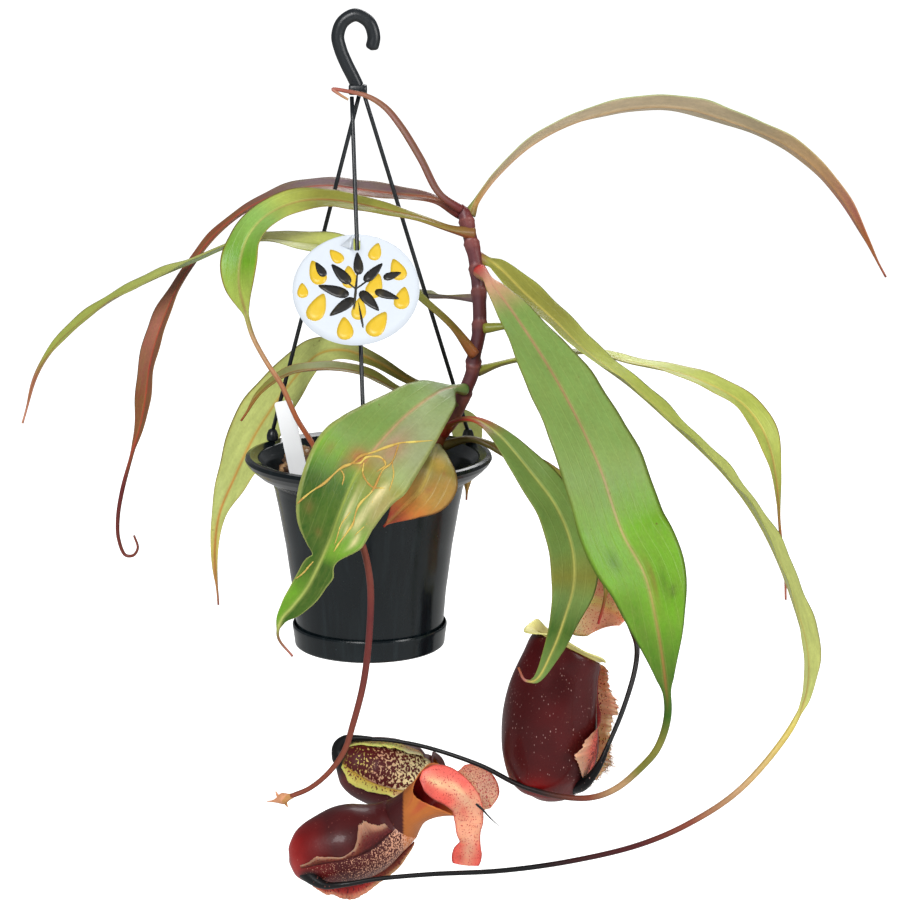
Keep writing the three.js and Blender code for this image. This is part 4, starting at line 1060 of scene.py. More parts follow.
def leaf_heights(spec, s, arc, stalk, half, spread):
    """How far the sheet's top and bottom lie above the rib line, s across from -1 to 1.

    Blade: fold x |s| with a softened middle, plus an edge wave that grows with s squared, plus
    and minus the half thickness; a rib bulge below and a groove above. Stalk: a circle.
    The two are mixed by the spread.
    """
    stalk, half, spread, arc = stalk[:, None], half[:, None], spread[:, None], arc[:, None]
    tilt = math.tan(math.radians(spec["fold"]))
    soft = np.sqrt(s**2 + 0.012) - math.sqrt(0.012)
    ripple = np.sin(arc / 9 + 1.7 * np.sign(s)) + 0.5 * np.sin(arc / 4.3 + s)
    wave = spec.get("wave", 0.7) * s**2 * ripple * np.clip(half / 12, 0, 1)
    sheet = half * tilt * soft + wave
    thin = 0.36 * (1 - 0.75 * s**8)
    rib = hump(s * half / 1.25)
    top = sheet + thin - 0.22 * rib
    bottom = sheet - thin - np.maximum(0.9, 0.7 * stalk) * rib * 0.75
    round_up = stalk * np.cos(s * np.pi / 2)
    return towards(round_up, top, spread), towards(-round_up, bottom, spread)


print("a leaf's ring has", 2 * COLUMNS - 2, "points")

# %% A whole leaf


def ring_of(above, below):
    """One ring of columns: over the top from left to right, and back below."""
    return np.concatenate([above, below[:, -2:0:-1]], 1)


def leaf_grid(spec, inks, steps=9):
    """Points, tint and lay of a whole leaf. Columns crowd towards the rib. A bite draws one half
    in (or out) by a share of its width, as a bell of distance along the rib."""
    places = steps_along(spec["rib"], steps)
    centre, side, up, stalk, half, spread = leaf_rib(spec, places)
    arc = arc_length(centre)
    s = squared(np.linspace(-1, 1, COLUMNS), 1.25)[None] * np.ones((len(places), 1))
    top, bottom = leaf_heights(spec, s, arc, stalk, half, spread)
    round_x = stalk[:, None] * np.sin(s * np.pi / 2)
    x = towards(round_x, s * np.maximum(half, stalk)[:, None], spread[:, None])
    for place, hand, long, deep in spec.get("bites", []):
        x = x * (1 - deep * hump((places[:, None] - place) / long) * (s * hand > 0))
    x, z, s = ring_of(x, x), ring_of(top, bottom), ring_of(s, s)
    above = ring_of(np.ones_like(top), np.zeros_like(top))
    above[:, [0, COLUMNS - 1]] = 0.5
    grid = centre[:, None] + x[..., None] * side[:, None] + z[..., None] * up[:, None]
    tint = leaf_tint(inks, places, s, x, above, spread[:, None], arc)
    lay = np.stack([x * MM, np.broadcast_to(arc[:, None], x.shape) * MM,
                    spread[:, None] * (0.3 + 0.7 * above)], -1)
    return grid, tint, lay


def leaf_tint(inks, places, s, x, above, spread, arc):
    """Upper or lower colour by side, rib stripe, edge line, each stain and painted highlight."""
    def band(part):
        """The colours of one part at every ring."""
        return blend_of(inks[part], places)[:, None]

    tint = towards(band("under" if "under" in inks else "top"), band("top"), above[..., None])
    # One half of the upper side takes its own colour; on the left red leaf it is painted sheen.
    if "halves" in inks:
        tint = towards(tint, band("halves"), (smooth(-0.15, 0.05, s) * spread * above)[..., None])
    if "rib" in inks:
        mask = hump(x / inks.get("rib_width", 0.9)) * inks.get("rib_strength", 0.85) * spread
        tint = towards(tint, band("rib"), mask[..., None])
    if "edge" in inks:
        mask = 0.8 * smooth(inks.get("edge_from", 0.86), 1.0, np.abs(s)) * spread
        tint = towards(tint, band("edge"), mask[..., None])
    # Each stain, and on the front leaf each cream painted highlight, as a bell along and across
    # the blade.
    for place, across, long, wide, ink, strength in inks.get("stains_and_highlights", []):
        mask = hump((places[:, None] - place) / long) * hump((s - across) / wide) * above
        tint = towards(tint, INK[ink], (mask * strength)[..., None])
    return tint * (1 + 0.05 * np.sin(arc / 7)[:, None] * np.cos(3 * s))[..., None]


longest = LEAVES["leaf_12_far_right"]["rib"]
length = arc_length(through(longest, steps_along(longest, 9)))[-1]
print("the longest leaf is", round(length), "mm from stem to tip")


# %% Leaf colours
# A stain, or on the front leaf a cream painted highlight, is a place along the rib, a share
# across, its length and width, a colour and a strength.
PAINTS = {
    "leaf_01_rolled_young": {
        "top": "3 wine, 5 red_brown, 7 rose, 9 tan", "under": "0 wine, 5 rust, 9 tan",
        "rib": "0 plum, 9 pink", "edge": "0 wine, 9 tan"},
    "leaf_02_right_arch": {
        "top": "0 olive, 3 sage, 8 sage, 11 grey_green, 14 rose",
        "under": "0 drab, 1 ochre, 2.2 fawn, 4 sand, 7 sand, 9 fawn, 11 tan, 12.3 rose, 13 rust, "
                 "14 red_brown",
        "stains_and_highlights": [(6, 0.8, 3.2, 0.25, "sage", 0.8), (4, -0.6, 3, 0.3, "taupe", 0.5)],
        "rib": "0 pink, 5 tan, 10 tan, 14 rust", "rib_width": 1.2,
        "edge": "9 sage, 12 tan, 14 rust"},
    "leaf_03_left_red": {
        "top": "2 wine, 4 red_brown, 13 red_brown, 16 wine, 22 red_brown",
        "under": "0 wine, 4 red_brown, 12 red_brown, 22 wine",
        # The plum and rose in the halves are painted sheen on one half of the upper side.
        "halves": "0 wine, 3 plum, 5 plum, 7 red_brown, 9 red_brown, 11 rose, 13 red_brown, "
                  "16 red_brown, 22 wine", "rib": "0 rust, 6 red, 15 red, 22 wine",
        "rib_width": 1.1, "edge": "0 rust, 5 brown, 10 ochre, 15 red_brown"},
    "leaf_04_left_green": {
        "top": "0 brown, 3 olive, 5.4 olive, 6.4 lime, 7.2 bright, 9 fresh, 11 lime, 12 tan, "
               "15 rust, 19 red_brown, 21 wine, 24 red_brown",
        "under": "0 rust, 4 brown, 8 ochre, 11 brown, 15 rust, 20 wine, 27 red_brown",
        "rib": "0 brown, 5 rust, 8 pale, 11 brown", "rib_width": 0.8,
        "edge": "6 brown, 9 ochre, 12 rust"},
    "leaf_05_left_pale": {
        "top": "0 rust, 2 olive, 4 lime, 6 pale, 8 pale, 11 lime, 13 lime, 14 rose, 15 pink",
        "under": "0 rust, 3 olive, 9 sage, 14 rose", "rib": "0 olive, 8 lime, 13 rust",
        "edge": "9 olive, 14 rust"},
    "leaf_06_back_left": {
        "top": "0 brown, 3 olive, 4.5 light, 10 light, 11 yellow, 12 rose",
        "under": "0 brown, 6 pale, 12 rose", "rib": "6 gold, 10 orange, 12 rust", "rib_width": 1,
        "edge": "0 olive, 9 yellow, 12 rust"},
    "leaf_07_olive_arch": {
        "top": "0 drab, 3 olive, 5 grey_green, 7 olive, 8 rust",
        "under": "0 drab, 4 brown, 7 ochre, 8 rust", "rib": "0 brown, 8 rust",
        "edge": "0 ochre, 8 orange"},
    "leaf_08_back_short": {
        "top": "0 plum, 1.5 olive, 3 olive, 5 lime", "under": "0 plum, 5 olive",
        "rib": "0 rose, 5 tan"},
    "leaf_09_front_scarred": {
        "top": "0 dark, 1.5 sage, 3.6 grey_green, 4.6 olive, 6 dark, 7.6 fresh, 8.5 forest, "
               "12 deep, 14 rose",
        "halves": "0 dark, 1.5 sage, 3.4 dark, 4.2 dark, 4.8 fresh, 5.5 forest, 7.8 forest, "
                  "9 deep, 10.5 fresh, 12 fresh, 14 rose",
        "under": "0 olive, 6 sage, 12 lime, 14 rose", "rib": "4 pink, 5 lime, 12 pale",
        "rib_strength": 0.7, "edge": "0 olive, 5 pale, 12 pale, 14 rust", "edge_from": 0.95,
        "stains_and_highlights": [(4.5, 0.12, 0.35, 0.2, "red", 0.75), (3.7, -0.3, 0.5, 0.25, "rose", 0.6),
                   (4.9, 0.3, 0.3, 0.12, "red_brown", 0.6), (4.2, -0.7, 0.5, 0.3, "sage", 0.6),
                   # The cream entries are painted highlights: pale streaks that stand in for gloss
                   # on the blade.
                   (5.2, -0.62, 0.5, 0.08, "cream", 0.9), (6.1, -0.55, 0.45, 0.07, "cream", 0.9),
                   (6, -0.2, 0.6, 0.05, "cream", 0.8), (6.9, -0.7, 0.35, 0.08, "cream", 0.8),
                   (6.6, -0.35, 0.3, 0.05, "cream", 0.8), (6.3, 0.25, 1.2, 0.3, "deep", 0.6),
                   (5.6, -0.85, 0.7, 0.18, "tan", 0.5), (4.8, 0.7, 0.2, 0.1, "brown", 0.5),
                   (6.2, 0.7, 0.2, 0.1, "brown", 0.4), (7, 0.4, 0.2, 0.1, "brown", 0.4),
                   (2.2, 0.7, 0.8, 0.3, "dark", 0.5), (1.6, -0.5, 0.8, 0.3, "dark", 0.5)]},
    "leaf_10_old_yellow": {
        "top": "1.6 olive, 3 drab, 4.2 ochre, 5 orange, 5.6 red",
        "under": "0 gold, 4 ochre, 6 red", "rib": "0 yellow", "rib_strength": 0.3,
        "edge": "0 drab, 6 red_brown",
        "stains_and_highlights": [(2.6, -0.3, 0.5, 0.4, "gold", 0.6), (3.6, -0.7, 0.5, 0.3, "ochre", 0.7),
                   (3, -0.5, 0.14, 0.1, "red_brown", 0.5),
                   (3.9, -0.2, 0.14, 0.1, "red_brown", 0.5)]},
    "leaf_11_right_front": {
        "top": "0 red, 0.5 rose, 1 pink, 1.7 dark, 4.2 dark, 5 fresh, 7 fresh, 8 deep, 9 deep, "
               "9.8 olive, 11 olive, 11.6 tan, 12 tan, 13 red_brown, 14.5 soot, 16 ink",
        "under": "0 rose, 2 lime, 8 fresh, 11 lime, 12 tan, 13 red_brown, 14.5 soot, 19 ink",
        "rib": "0 pink, 3 rose, 6 tan, 8 rust", "rib_strength": 0.7, "edge": "0 olive, 8 deep",
        "edge_from": 0.95,
        "stains_and_highlights": [(5.4, 0.5, 0.25, 0.12, "deep", 0.7), (6.3, -0.4, 0.3, 0.1, "deep", 0.6),
                   (4.4, 0.5, 0.5, 0.3, "dark", 0.5), (6.5, -0.6, 0.12, 0.1, "soot", 0.6),
                   (6.2, -0.15, 0.5, 0.06, "red_brown", 0.6), (7, 0.6, 0.8, 0.4, "deep", 0.5)]},
    "leaf_12_far_right": {
        "top": "0 red_brown, 0.6 olive, 3 olive, 4.5 lime, 6 lime, 8 pale, 13 pale, 14 yellow, "
               "15 tan, 16 red_brown, 17 maroon, 18.5 ink",
        "under": "0 lime, 3 olive, 6 lime, 11 pale, 14 yellow, 15 tan, 16 red_brown, 17 maroon, "
                 "18.5 ink", "rib": "6 yellow, 11 gold, 14 rust", "rib_width": 1.1,
        "rib_strength": 0.6, "edge": "9 lime, 14 tan", "edge_from": 0.84},
    "leaf_13_right_hanging": {
        "top": "0 olive, 2 lime, 5 pale, 8 lime, 10 lime, 12 olive, 13 rust, 15 rose",
        "under": "0 drab, 5 lime, 9 lime, 12 brown, 15 rust", "rib": "0 brown, 8 yellow, 12 rust",
        "edge": "0 brown, 9 ochre, 12 rust"},
    "leaf_14_lower_right": {
        "top": "2.6 red, 3.4 rust, 4.2 dark, 7 dark, 7.8 olive, 8.4 dark, 9.4 deep, 11 dark, "
               "12 rose, 13 rust", "under": "0 red, 3 olive, 10 lime, 13 rust",
        "rib": "0 rust, 4 pale, 11 yellow", "rib_width": 0.7, "edge": "0 olive",
        "edge_from": 0.94},
    "leaf_15_behind_pot": {
        "top": "0 brown, 2 lime, 6 pale, 7 rose", "rib": "0 tan, 7 gold"},
    "leaf_16_behind_front": {
        "top": "0 olive, 3 fresh, 5 lime, 7 olive, 8 rust, 9 red",
        "under": "0 olive, 5 lime, 7 rust, 9 red", "rib": "0 brown, 6 gold, 8 rust",
        "edge": "0 ochre, 7 gold"},
    "leaf_17_low_right": {
        "top": "2 drab, 4 olive, 6 drab, 8 wine, 9 soot, 11 ink",
        "under": "0 drab, 4 brown, 8 wine, 9 soot, 11 ink", "rib": "0 brown, 6 rust",
        "edge": "0 brown, 7 rust"},
}
print(len(PAINTS), "leaf colourings")

# %% Build the leaves
HAS_TENDRIL_SOLID = {"04", "11", "12", "17"}
for name, spec in LEAVES.items():
    grid, tint, lay = leaf_grid(spec, PAINTS[name])
    number = name.split("_")[1]
    nodes = [name] + [f"tendril_{number}"] * (number in HAS_TENDRIL_SOLID)
    build(f"leaf_{number}_blade", [skin(grid, tint=tint, lay=lay)], leaf_skin, nodes)

# %% [markdown]
# ### Scars of the front leaf
# The front leaf was creased once, and it healed with raised pale lines that fork across it. Each
# is a thin tube laid along the leaf's upper surface through places given as distance along the
# rib and across the blade, so that it follows the leaf's own curve.

# %% Healed scars
SCARRED = "leaf_09_front_scarred"
scar_skin = material("scar_skin", bark, {"Dark": rgb("ochre", 1.1), "Light": rgb("yellow", 1.1)},
                     0.5, 0.0004)
SCAR_LINES = [
    ([(6.2, 0.97), (5.8, 0.72), (5.5, 0.5), (5.1, 0.33), (4.8, 0.18), (4.4, 0.12), (3.95, -0.05),
      (3.5, -0.32), (3.3, -0.55), (3.0, -0.9)], 0.75),
    ([(3.5, -0.32), (3.9, -0.43), (4.3, -0.38), (5.2, -0.42), (5.7, -0.3), (6.3, -0.36),
      (7.2, -0.3), (7.6, -0.36)], 0.6),
    ([(4.8, 0.18), (4.6, 0.05), (4.3, 0.02), (4.0, -0.2), (4.1, -0.36), (4.5, -0.3)], 0.65),
    ([(5.1, 0.33), (5.2, 0.2), (5.4, 0.16)], 0.45),
    ([(3.9, -0.43), (4.2, -0.6), (4.9, -0.7)], 0.4),
    ([(8.5, 0.45), (9.2, 0.62), (9.8, 0.93)], 0.5),
    ([(4.5, 0.0), (4.9, -0.12), (5.1, -0.4), (4.9, -0.6)], 0.5),
    ([(5.4, -0.5), (6.0, -0.62), (6.7, -0.55)], 0.35),
    ([(5.9, -0.2), (6.5, -0.12), (7.3, -0.2)], 0.35),
]


def on_leaf(spec, marks):
    """Points on a leaf's upper surface at (place along the rib, share across) marks."""
    places, s = marks.T
    centre, side, up, stalk, half, spread = leaf_rib(spec, places)
    fine = np.linspace(0, len(spec["rib"]) - 1, 400)
    arc = np.interp(places, fine, arc_length(through(spec["rib"], fine)))
    top, _ = leaf_heights(spec, s[:, None], arc, stalk, half, spread)
    return centre + (s * half)[:, None] * side + (top + 0.1) * up


def scar(line, radius):
    """A tube along one scar, thinner at both ends and uneven between them."""
    even = np.column_stack([np.array(line, float) * [10, 20], np.zeros(len(line))])
    points = on_leaf(LEAVES[SCARRED], through(even, steps_along(line, 8))[:, :2] / [10, 20])
    size = lambda share: (radius * (0.35 + 0.65 * np.sin(np.pi * share) ** 0.5)
                          * (1 + 0.3 * np.sin(37 * share)))
    return tube(points, size, 8, 1)


build("leaf_09_scars", [skin(scar(line, radius)) for line, radius in SCAR_LINES], scar_skin)

# %% [markdown]
# ## Pitchers
# A pitcher is the swollen end of a tendril: a hollow cup with a ribbed lip round its mouth, two
# fringed wings down its front and a lid. The cup is a ring carried along a bent axis, out to
# the mouth and back down inside, so it is one closed skin with a real hollow. The planes of the
# last rings turn from the axis towards the mouth's own direction, as on the solids.

# %% The three cups, as axis, radii, mouth and front
PITCHERS = {
    "pitcher_1": {
        "axis": [[119, -15, -475], [119, -15, -472.5], [119, -15, -467], [118, -15, -457],
                 [118, -15, -442], [118, -15, -425], [120, -15, -406], [124, -15, -389],
                 [128, -15, -377]], "radii": [1.6, 11, 19, 26, 29.6, 29.6, 27.6, 24.5, 22],
        "mouth": [0.45, 0.22, 0.88], "front": [1, 0.3, 0.1], "wing": (34, 11), "flare": 2.8,
        "rise": 2.2, "ears": [(185, 5.5, -5.5, 0.4), (135, 0.5, 4.5, 0.45), (20, 1.5, -1.5, 0.5)]},
    "pitcher_2": {
        "axis": [[-14, 8, -454], [-11.5, 8, -455], [-6, 9, -457.5], [4, 12, -463], [18, 14, -468],
                 [32, 14, -471], [42, 14, -472], [50, 14, -471]],
        "radii": [1.6, 8.5, 15.5, 20.3, 22.3, 20.5, 17, 14.5], "mouth": [0.9, -0.1, 0.4],
        "front": [0.1, -0.8, 0.6], "wing": (42, 7), "flare": 2.4, "rise": 1.6},
    "pitcher_3": {
        "axis": [[-41, -52, -502], [-39, -52, -501.5], [-33, -52, -499.5], [-23, -51, -496],
                 [-8, -49, -492], [7, -47, -488], [19, -46, -482], [28, -46, -476]],
        "radii": [1.6, 9, 16, 20.5, 24, 22, 17, 13.5], "mouth": [0.72, -0.27, 0.63],
        "front": [0.1, -0.7, -0.7], "wing": (45, 8), "flare": 2.5, "rise": 22},
}
print(len(PITCHERS), "cups")

# %% The cups' colours, and their wings' edges, leans and hairs, left wing first
PITCHER_PAINTS = {
    "pitcher_1": {
        "body": "0.8 soot, 2 blood, 3.4 maroon", "front": "0 soot, 2 maroon",
        "inside": "0 wine, 8 lemon", "lip": ("butter", "yellow"), "fleck": (0.03, 0.12, 0.12),
        # The black spot is the tendril's black end, spread wide as painted shade over the cup's
        # lower right.
        "spots_and_shade": [(138, -31, -459, 12, "ink"), (112, -40, -466, 12, "blood"),
                  (126, -38, -462, 9, "wine")], "wing_from": 1.5, "till": 0.06, "sway": 0.25,
        "ragged": 0.5,
        "wings": ({
            "way": -1, "lean": [32, 32, 34, 30, 30, 30, 30],
            "edge": [1.6, 1.9, 1.7, 1.2, 0.9, 1.1, 1.4, 1.3, 1.1, 1.3, 1.8],
            "inks": ("blush", "peach", "peach", "peach", "blush"),
            "hairs": (420, 4.6, "peach", "rust")
        }, {
            "way": 1, "lean": [0, 0, 10, 30, 40, 50, 40, 0, 0, 0, 0, 0],
            "edge": [0.1, 0.1, 0.1, 0.1, 0.2, 0.7, 0.7, 0.25, 0.08, 0.06, 0.06, 0.06],
            "inks": ("blood", "coral", "blush", "wine", "wine"),
            "hairs": (240, 2.6, "blood", "maroon")
        })},
    "pitcher_2": {
        "body": "1 ink, 1.8 wine, 3 maroon", "front": "0 ink, 1.2 gold, 2 yellow, 3 pink, 5 cream",
        "inside": "0 blood, 8 orange", "lip": ("wine", "maroon"), "fleck": (0.02, 0.82, 0.34),
        "spots_and_shade": [(-13, 4, -450, 8, "ink")], "wing_from": 1.1, "till": 0.35, "sway": 0.2,
        "ragged": -0.25,
        "wings": ({
            "way": 1, "lean": [12, 16, 14, 8, 10, 10, 6],
            "edge": [0.6, 1, 0.5, 0.3, 0.5, 0.4, 0.35, 0.3],
            "inks": ("gold", "yellow", "lemon", "tan", "cream"),
            "hairs": (30, 1.6, "lemon", "gold")
        }, {
            "way": -1, "lean": [14, 20, 24, 20, 10],
            "edge": [0.2, 0.3, 0.5, 0.7, 0.5, 0.5, 0.5, 0.3],
            "inks": ("gold", "yellow", "lemon", "tan", "cream"),
            "hairs": (20, 1.6, "lemon", "gold")
        })},
    "pitcher_3": {
        "body": "1.4 red, 2.4 blood, 3.6 maroon", "front": "1.4 red, 2.4 blood, 3.6 maroon",
        "inside": "0 blood, 8 rust", "fleck": (0, 0.1, 0.56),
        "spots_and_shade": [(-27, -66, -507, 7, "ink")], "beyond": (28.3, "orange"), "wing_from": 1.9,
        "till": 0.35, "sway": 0.12, "ragged": -0.25,
        "wings": ({
            "way": 1, "lean": [0, 0, 0, 0],
            "edge": [1, 1.5, 1.2, 1.5, 1.3, 1.1, 0.8, 0.8, 0.7, 0.5],
            "inks": ("maroon", "red", "salmon", "red_brown", "tan"),
            "hairs": (30, 1.4, "tan", "rust")
        }, {
            "way": 1, "lean": [6, 8, 14, 10, 4, 10, 34, 34, 30, 24, 20],
            "edge": [0.15, 0.25, 0.9, 0.3, 0.05, 0.1, 1.4, 1.7, 1.5, 1.5, 1.4],
            "inks": ("maroon", "red_brown", "pink", "wine", "pink"),
            "hairs": (30, 1.4, "tan", "rust")
        })},
}
print(len(PITCHER_PAINTS), "cup colourings")

# %% Cup skins
SIDES = 96


def cup_stations(spec, places):
    """Centre, mouthward normal, front, side and radius of the rings at places along the axis."""
    turn = np.clip((places - len(spec["axis"]) + 3) / 2, 0, 1)[:, None] ** 2
    normal = ahead_at(spec["axis"], places)
    normal = unit(towards(normal, unit(np.array(spec["mouth"], float)), turn))
    front = np.array(spec["front"], float)
    front = unit(front - normal * (normal @ front)[:, None])
    return (through(spec["axis"], places), normal, front, np.cross(normal, front),
            flowing(spec["radii"], places))


def mouth_of(spec):
    """The last ring of a cup: its centre, normal, front, side and radius."""
    return [part[0] for part in cup_stations(spec, np.array([len(spec["axis"]) - 1.0]))]


def round_at(stations, turn, reach):
    """Points at an angle from the front and a distance from the axis of each ring."""
    centre, _, front, side, _ = stations
    return sweep(centre[:, None], front[:, None], side[:, None], turn[..., None], reach[..., None])


def marked(points, tint, inks):
    """A cup's tint with its soft round spot marks, and the other ink past a place to the right.
    The black spot on the first cup is also painted shade over its lower right.
    """
    for x, y, z, wide, ink in inks["spots_and_shade"]:
        near = hump(np.linalg.norm(points - np.array([x, y, z]), axis=-1) / wide)[..., None]
        tint = towards(tint, INK[ink], np.clip(1.6 * near, 0, 1))
    if "beyond" in inks:
        edge, ink = inks["beyond"]
        tint = towards(tint, INK[ink], smooth(edge - 0.5, edge + 0.5, points[..., :1]))
    return tint


def cup_skin(spec, inks, wall=1.2):
    """The cup: rings from the closed end to the mouth, then back inside by the wall's thickness.
    Its front, between the wings, has its own colour and more flecks."""
    spans = len(spec["axis"]) - 1
    out, back = steps_along(spec["axis"], 10), np.linspace(spans, 2.2, (spans - 2) * 10)
    turn, row = circle(SIDES)[None], out[:, None]
    outer, inner = cup_stations(spec, out), cup_stations(spec, back)
    uneven = 1 + 0.010 * np.sin(3 * turn + row) + 0.006 * np.sin(7 * turn - 2 * row)
    away = np.abs(short_way(turn))
    seam = 0.25 * hump(away / 0.2)
    radius = outer[4][:, None]
    skin_out = round_at(outer, turn + 0 * row, radius * uneven + seam * (radius > 8))
    skin_in = round_at(inner, turn + 0 * back[:, None], inner[4][:, None] - wall + 0 * turn)
    wing, start = math.radians(spec["wing"][0]), inks["wing_from"]
    between = (1 - smooth(wing * 0.9, wing * 1.05, away)) * smooth(start - 0.3, start + 0.3, row)
    tint_out = towards(blend_of(inks["body"], out)[:, None], blend_of(inks["front"], out)[:, None],
                       between[..., None])
    tint_in = blend_of(inks["inside"], back)[:, None] * np.ones((1, SIDES, 1))
    few, many, end = inks["fleck"]
    dense = np.interp(out, [start, spans], [many, end])[:, None]
    fleck = towards(few, dense, between) * smooth(start - 0.4, start + 0.4, row)
    return skin(np.concatenate([skin_out, skin_in]),
                tint=np.concatenate([marked(skin_out, tint_out, inks), tint_in]),
                fleck=np.concatenate([fleck, np.zeros((len(back), SIDES))])[..., None])


print("a cup's ring has", SIDES, "points")

# %% Lips


def lip_skin(spec, inks, turns=240):
    """The lip: a rolled section carried round the mouth, spreading by `flare` over `rise`, with
    fine ribs that run over it and, where `ears` say so, drawn out at an angle of the mouth."""
    centre, normal, front, side, radius = mouth_of(spec)
    flare, rise = spec["flare"], spec["rise"]
    t = np.linspace(0, 1, 9)
    curl = np.sin(t * np.pi / 2)
    above = np.stack([-1.0 + (flare + 1.0) * t**1.6, 0.35 + (rise + 0.8) * curl], -1)
    below = np.stack([0.3 + (flare - 0.2) * t**1.8, 0.35 + (rise - 0.2) * curl * t**0.3], -1)
    section = np.concatenate([above, below[:0:-1], [[0.2, 0.36]]])
    lift = np.concatenate([t, t[:0:-1], [0]])
    turn = circle(turns)[:, None]
    ribs = np.sin(turns / 4 * turn) * lift
    ear_out = ear_up = 0 * turn
    for at, out, up, wide in spec.get("ears", []):
        bell = hump(short_way(turn - math.radians(at)) / wide)
        ear_out, ear_up = ear_out + out * bell, ear_up + up * bell
    reach = radius + section[:, 0] + lift**1.5 * ear_out + 0.14 * ribs * (section[:, 1] > 0.4)
    high = section[:, 1] + 0.5 * np.sin(5 * turn) * lift**2 + lift**1.3 * ear_up
    grid = sweep(centre, front, side, turn[..., None], reach[..., None]) + high[..., None] * normal
    pale, dark = (INK[name] for name in inks["lip"])
    tint = towards(pale, dark, (0.35 * (0.5 + 0.5 * ribs))[..., None])
    tint = towards(tint, INK["rust"], (0.25 * (1 - lift))[..., None])
    return skin(grid, looped=True, tint=tint, fleck=np.full((*reach.shape, 1), 0.02))


print("the first mouth is", round(2 * mouth_of(PITCHERS["pitcher_1"])[4]), "mm across")

# %% Wings and their hairs


def needles(roots, ways, lengths, width=0.11):
    """Hairs: three-sided spikes of four rings that thin out and droop a little at the tip."""
    roots, ways = roots[:, None, None], unit(ways)[:, None, None]
    side = unit(np.cross(ways, [0.3, 0.2, 0.9]))
    t = np.array([0, 0.35, 0.7, 1.0])[None, :, None, None]
    length = lengths[:, None, None, None]
    spine = roots + length * t * ways + length * (np.array([0, 0, -0.18]) * t**2)
    return sweep(spine, side, np.cross(side, ways), circle(3)[None, None, :, None],
                 width * (1 - 0.85 * t))


def wing_skins(spec, inks, handed, seed):
    """One wing: a thin sheet from a root line on the cup to a ruffled edge, and hairs along it.
    The edge leans by a table of degrees away from the front, sways by a few more to each side,
    and its height rises and falls."""
    wing = inks["wings"][handed < 0]
    places = np.linspace(inks["wing_from"], len(spec["axis"]) - 1 - inks["till"], 150)
    count = len(places)
    stations = cup_stations(spec, places)
    radius = stations[4][:, None]

    def along(table):
        """A table's values spread evenly over the wing."""
        return flowing(table, np.linspace(0, len(table) - 1, count))

    k, sway, ragged = (places - 3) * 2, inks["sway"], inks["ragged"]
    share = np.sin(np.pi * np.linspace(0.02, 0.98, count)) ** 0.5 * along(wing["edge"])
    v = np.array([0, 0.2, 0.4, 0.6, 0.8, 1.0, 1.0, 0.8, 0.6, 0.4, 0.2, 0])
    flat = np.array([-1] * 6 + [1] * 6) * (0.34 - 0.2 * v)
    lean = wing["way"] * handed * np.radians(along(wing["lean"]))
    bend = (lean + sway * math.radians(9) * np.sin(2.2 * k) * share)[:, None] * v
    bend = bend + (sway * math.radians(6) * np.sin(5.1 * k + seed) * share)[:, None] * v**2
    tooth = math.radians(2.4) * np.sin(17.0 * k + 2 * seed)
    bend = bend + (ragged * tooth * share)[:, None] * v**3
    edge = spec["wing"][1] * share + (0.2 + 0.6 * ragged) * np.sin(9 * k + seed) * share
    reach = radius + 0.25 + edge[:, None] * v
    grid = round_at(stations, math.radians(spec["wing"][0]) * handed + bend + flat / radius, reach)
    root, middle, rim, middle_end, rim_end = (INK[name] for name in wing["inks"])
    later = smooth(0.5, 0.65, np.linspace(0, 1, count))[:, None, None]
    level = v[None, :, None] + 0 * reach[..., None]
    tint = towards(root, towards(middle, middle_end, later), smooth(0.0, 0.45, level))
    tint = towards(tint, towards(rim, rim_end, later), smooth(0.5, 0.95, level))
    fleck = np.broadcast_to(0.42 * np.sin(np.pi * v**0.6), reach.shape)[..., None]
    draw = np.random.default_rng(seed)
    total, long, pale, dark = wing["hairs"]
    at = (np.sort(draw.random(total)) ** 1.5 * (count - 1)).astype(int)
    outward = unit(grid[at, 5] - grid[at, 0])
    ways = outward + 0.35 * draw.standard_normal((total, 3)) - 0.3 * stations[1][at]
    lengths = long * (0.35 + 0.65 * draw.random(total)) * (1.0 - 0.55 * at / count) * share[at]
    hairs = needles(grid[at, 5] - 0.3 * outward, ways, lengths)
    colour = towards(INK[pale], INK[dark], draw.random((total, 1, 1, 1)))
    return [skin(grid, tint=tint, fleck=fleck),
            skin(hairs, tint=colour + 0 * hairs, fleck=0 * hairs[..., :1])]


print(sum(wing["hairs"][0] for inks in PITCHER_PAINTS.values() for wing in inks["wings"]), "hairs")

# %% Lids and their colours
LIDS = {
    "pitcher_1_lid": {
        "rib": [[120, 6, -358], [127, -1, -354], [138, -9, -351], [150, -18, -351],
                [162, -26, -357]], "half": [3, 12, 21, 20, 5], "face": [[-0.3, -0.6, 0.75]],
        "fold": -8, "rods": [1.6, 0.7], "wave": 2, "fleck": 0.28},
    "pitcher_2_lid": {
        "rib": [[63, 14, -465], [67, 11, -467.5], [72, 6, -473], [76, 2, -480], [78, 0, -487]],
        "half": [4, 10, 13, 12, 4], "face": [[0.1, -0.9, 0.6]], "fold": 8, "rods": [1.6, 0.7],
        "wave": 1.4, "fleck": 0.38},
    "pitcher_3_lid": {
        "rib": [[39, -60, -443.5], [44, -61, -445], [51.5, -61, -448.5], [59.5, -60, -454],
                [66, -58, -462.5], [68, -56, -473], [68, -55, -481], [68.5, -54, -488],
                [67, -53, -496], [66, -52, -504]],
        "half": [3, 8.5, 11, 10.5, 9.5, 9, 8, 6.5, 9, 8], "face": [[0.1, -1, 0.3]], "fold": -8,
        "rods": [1.6, 0.7], "wave": 1.4, "fleck": 0.26},
}
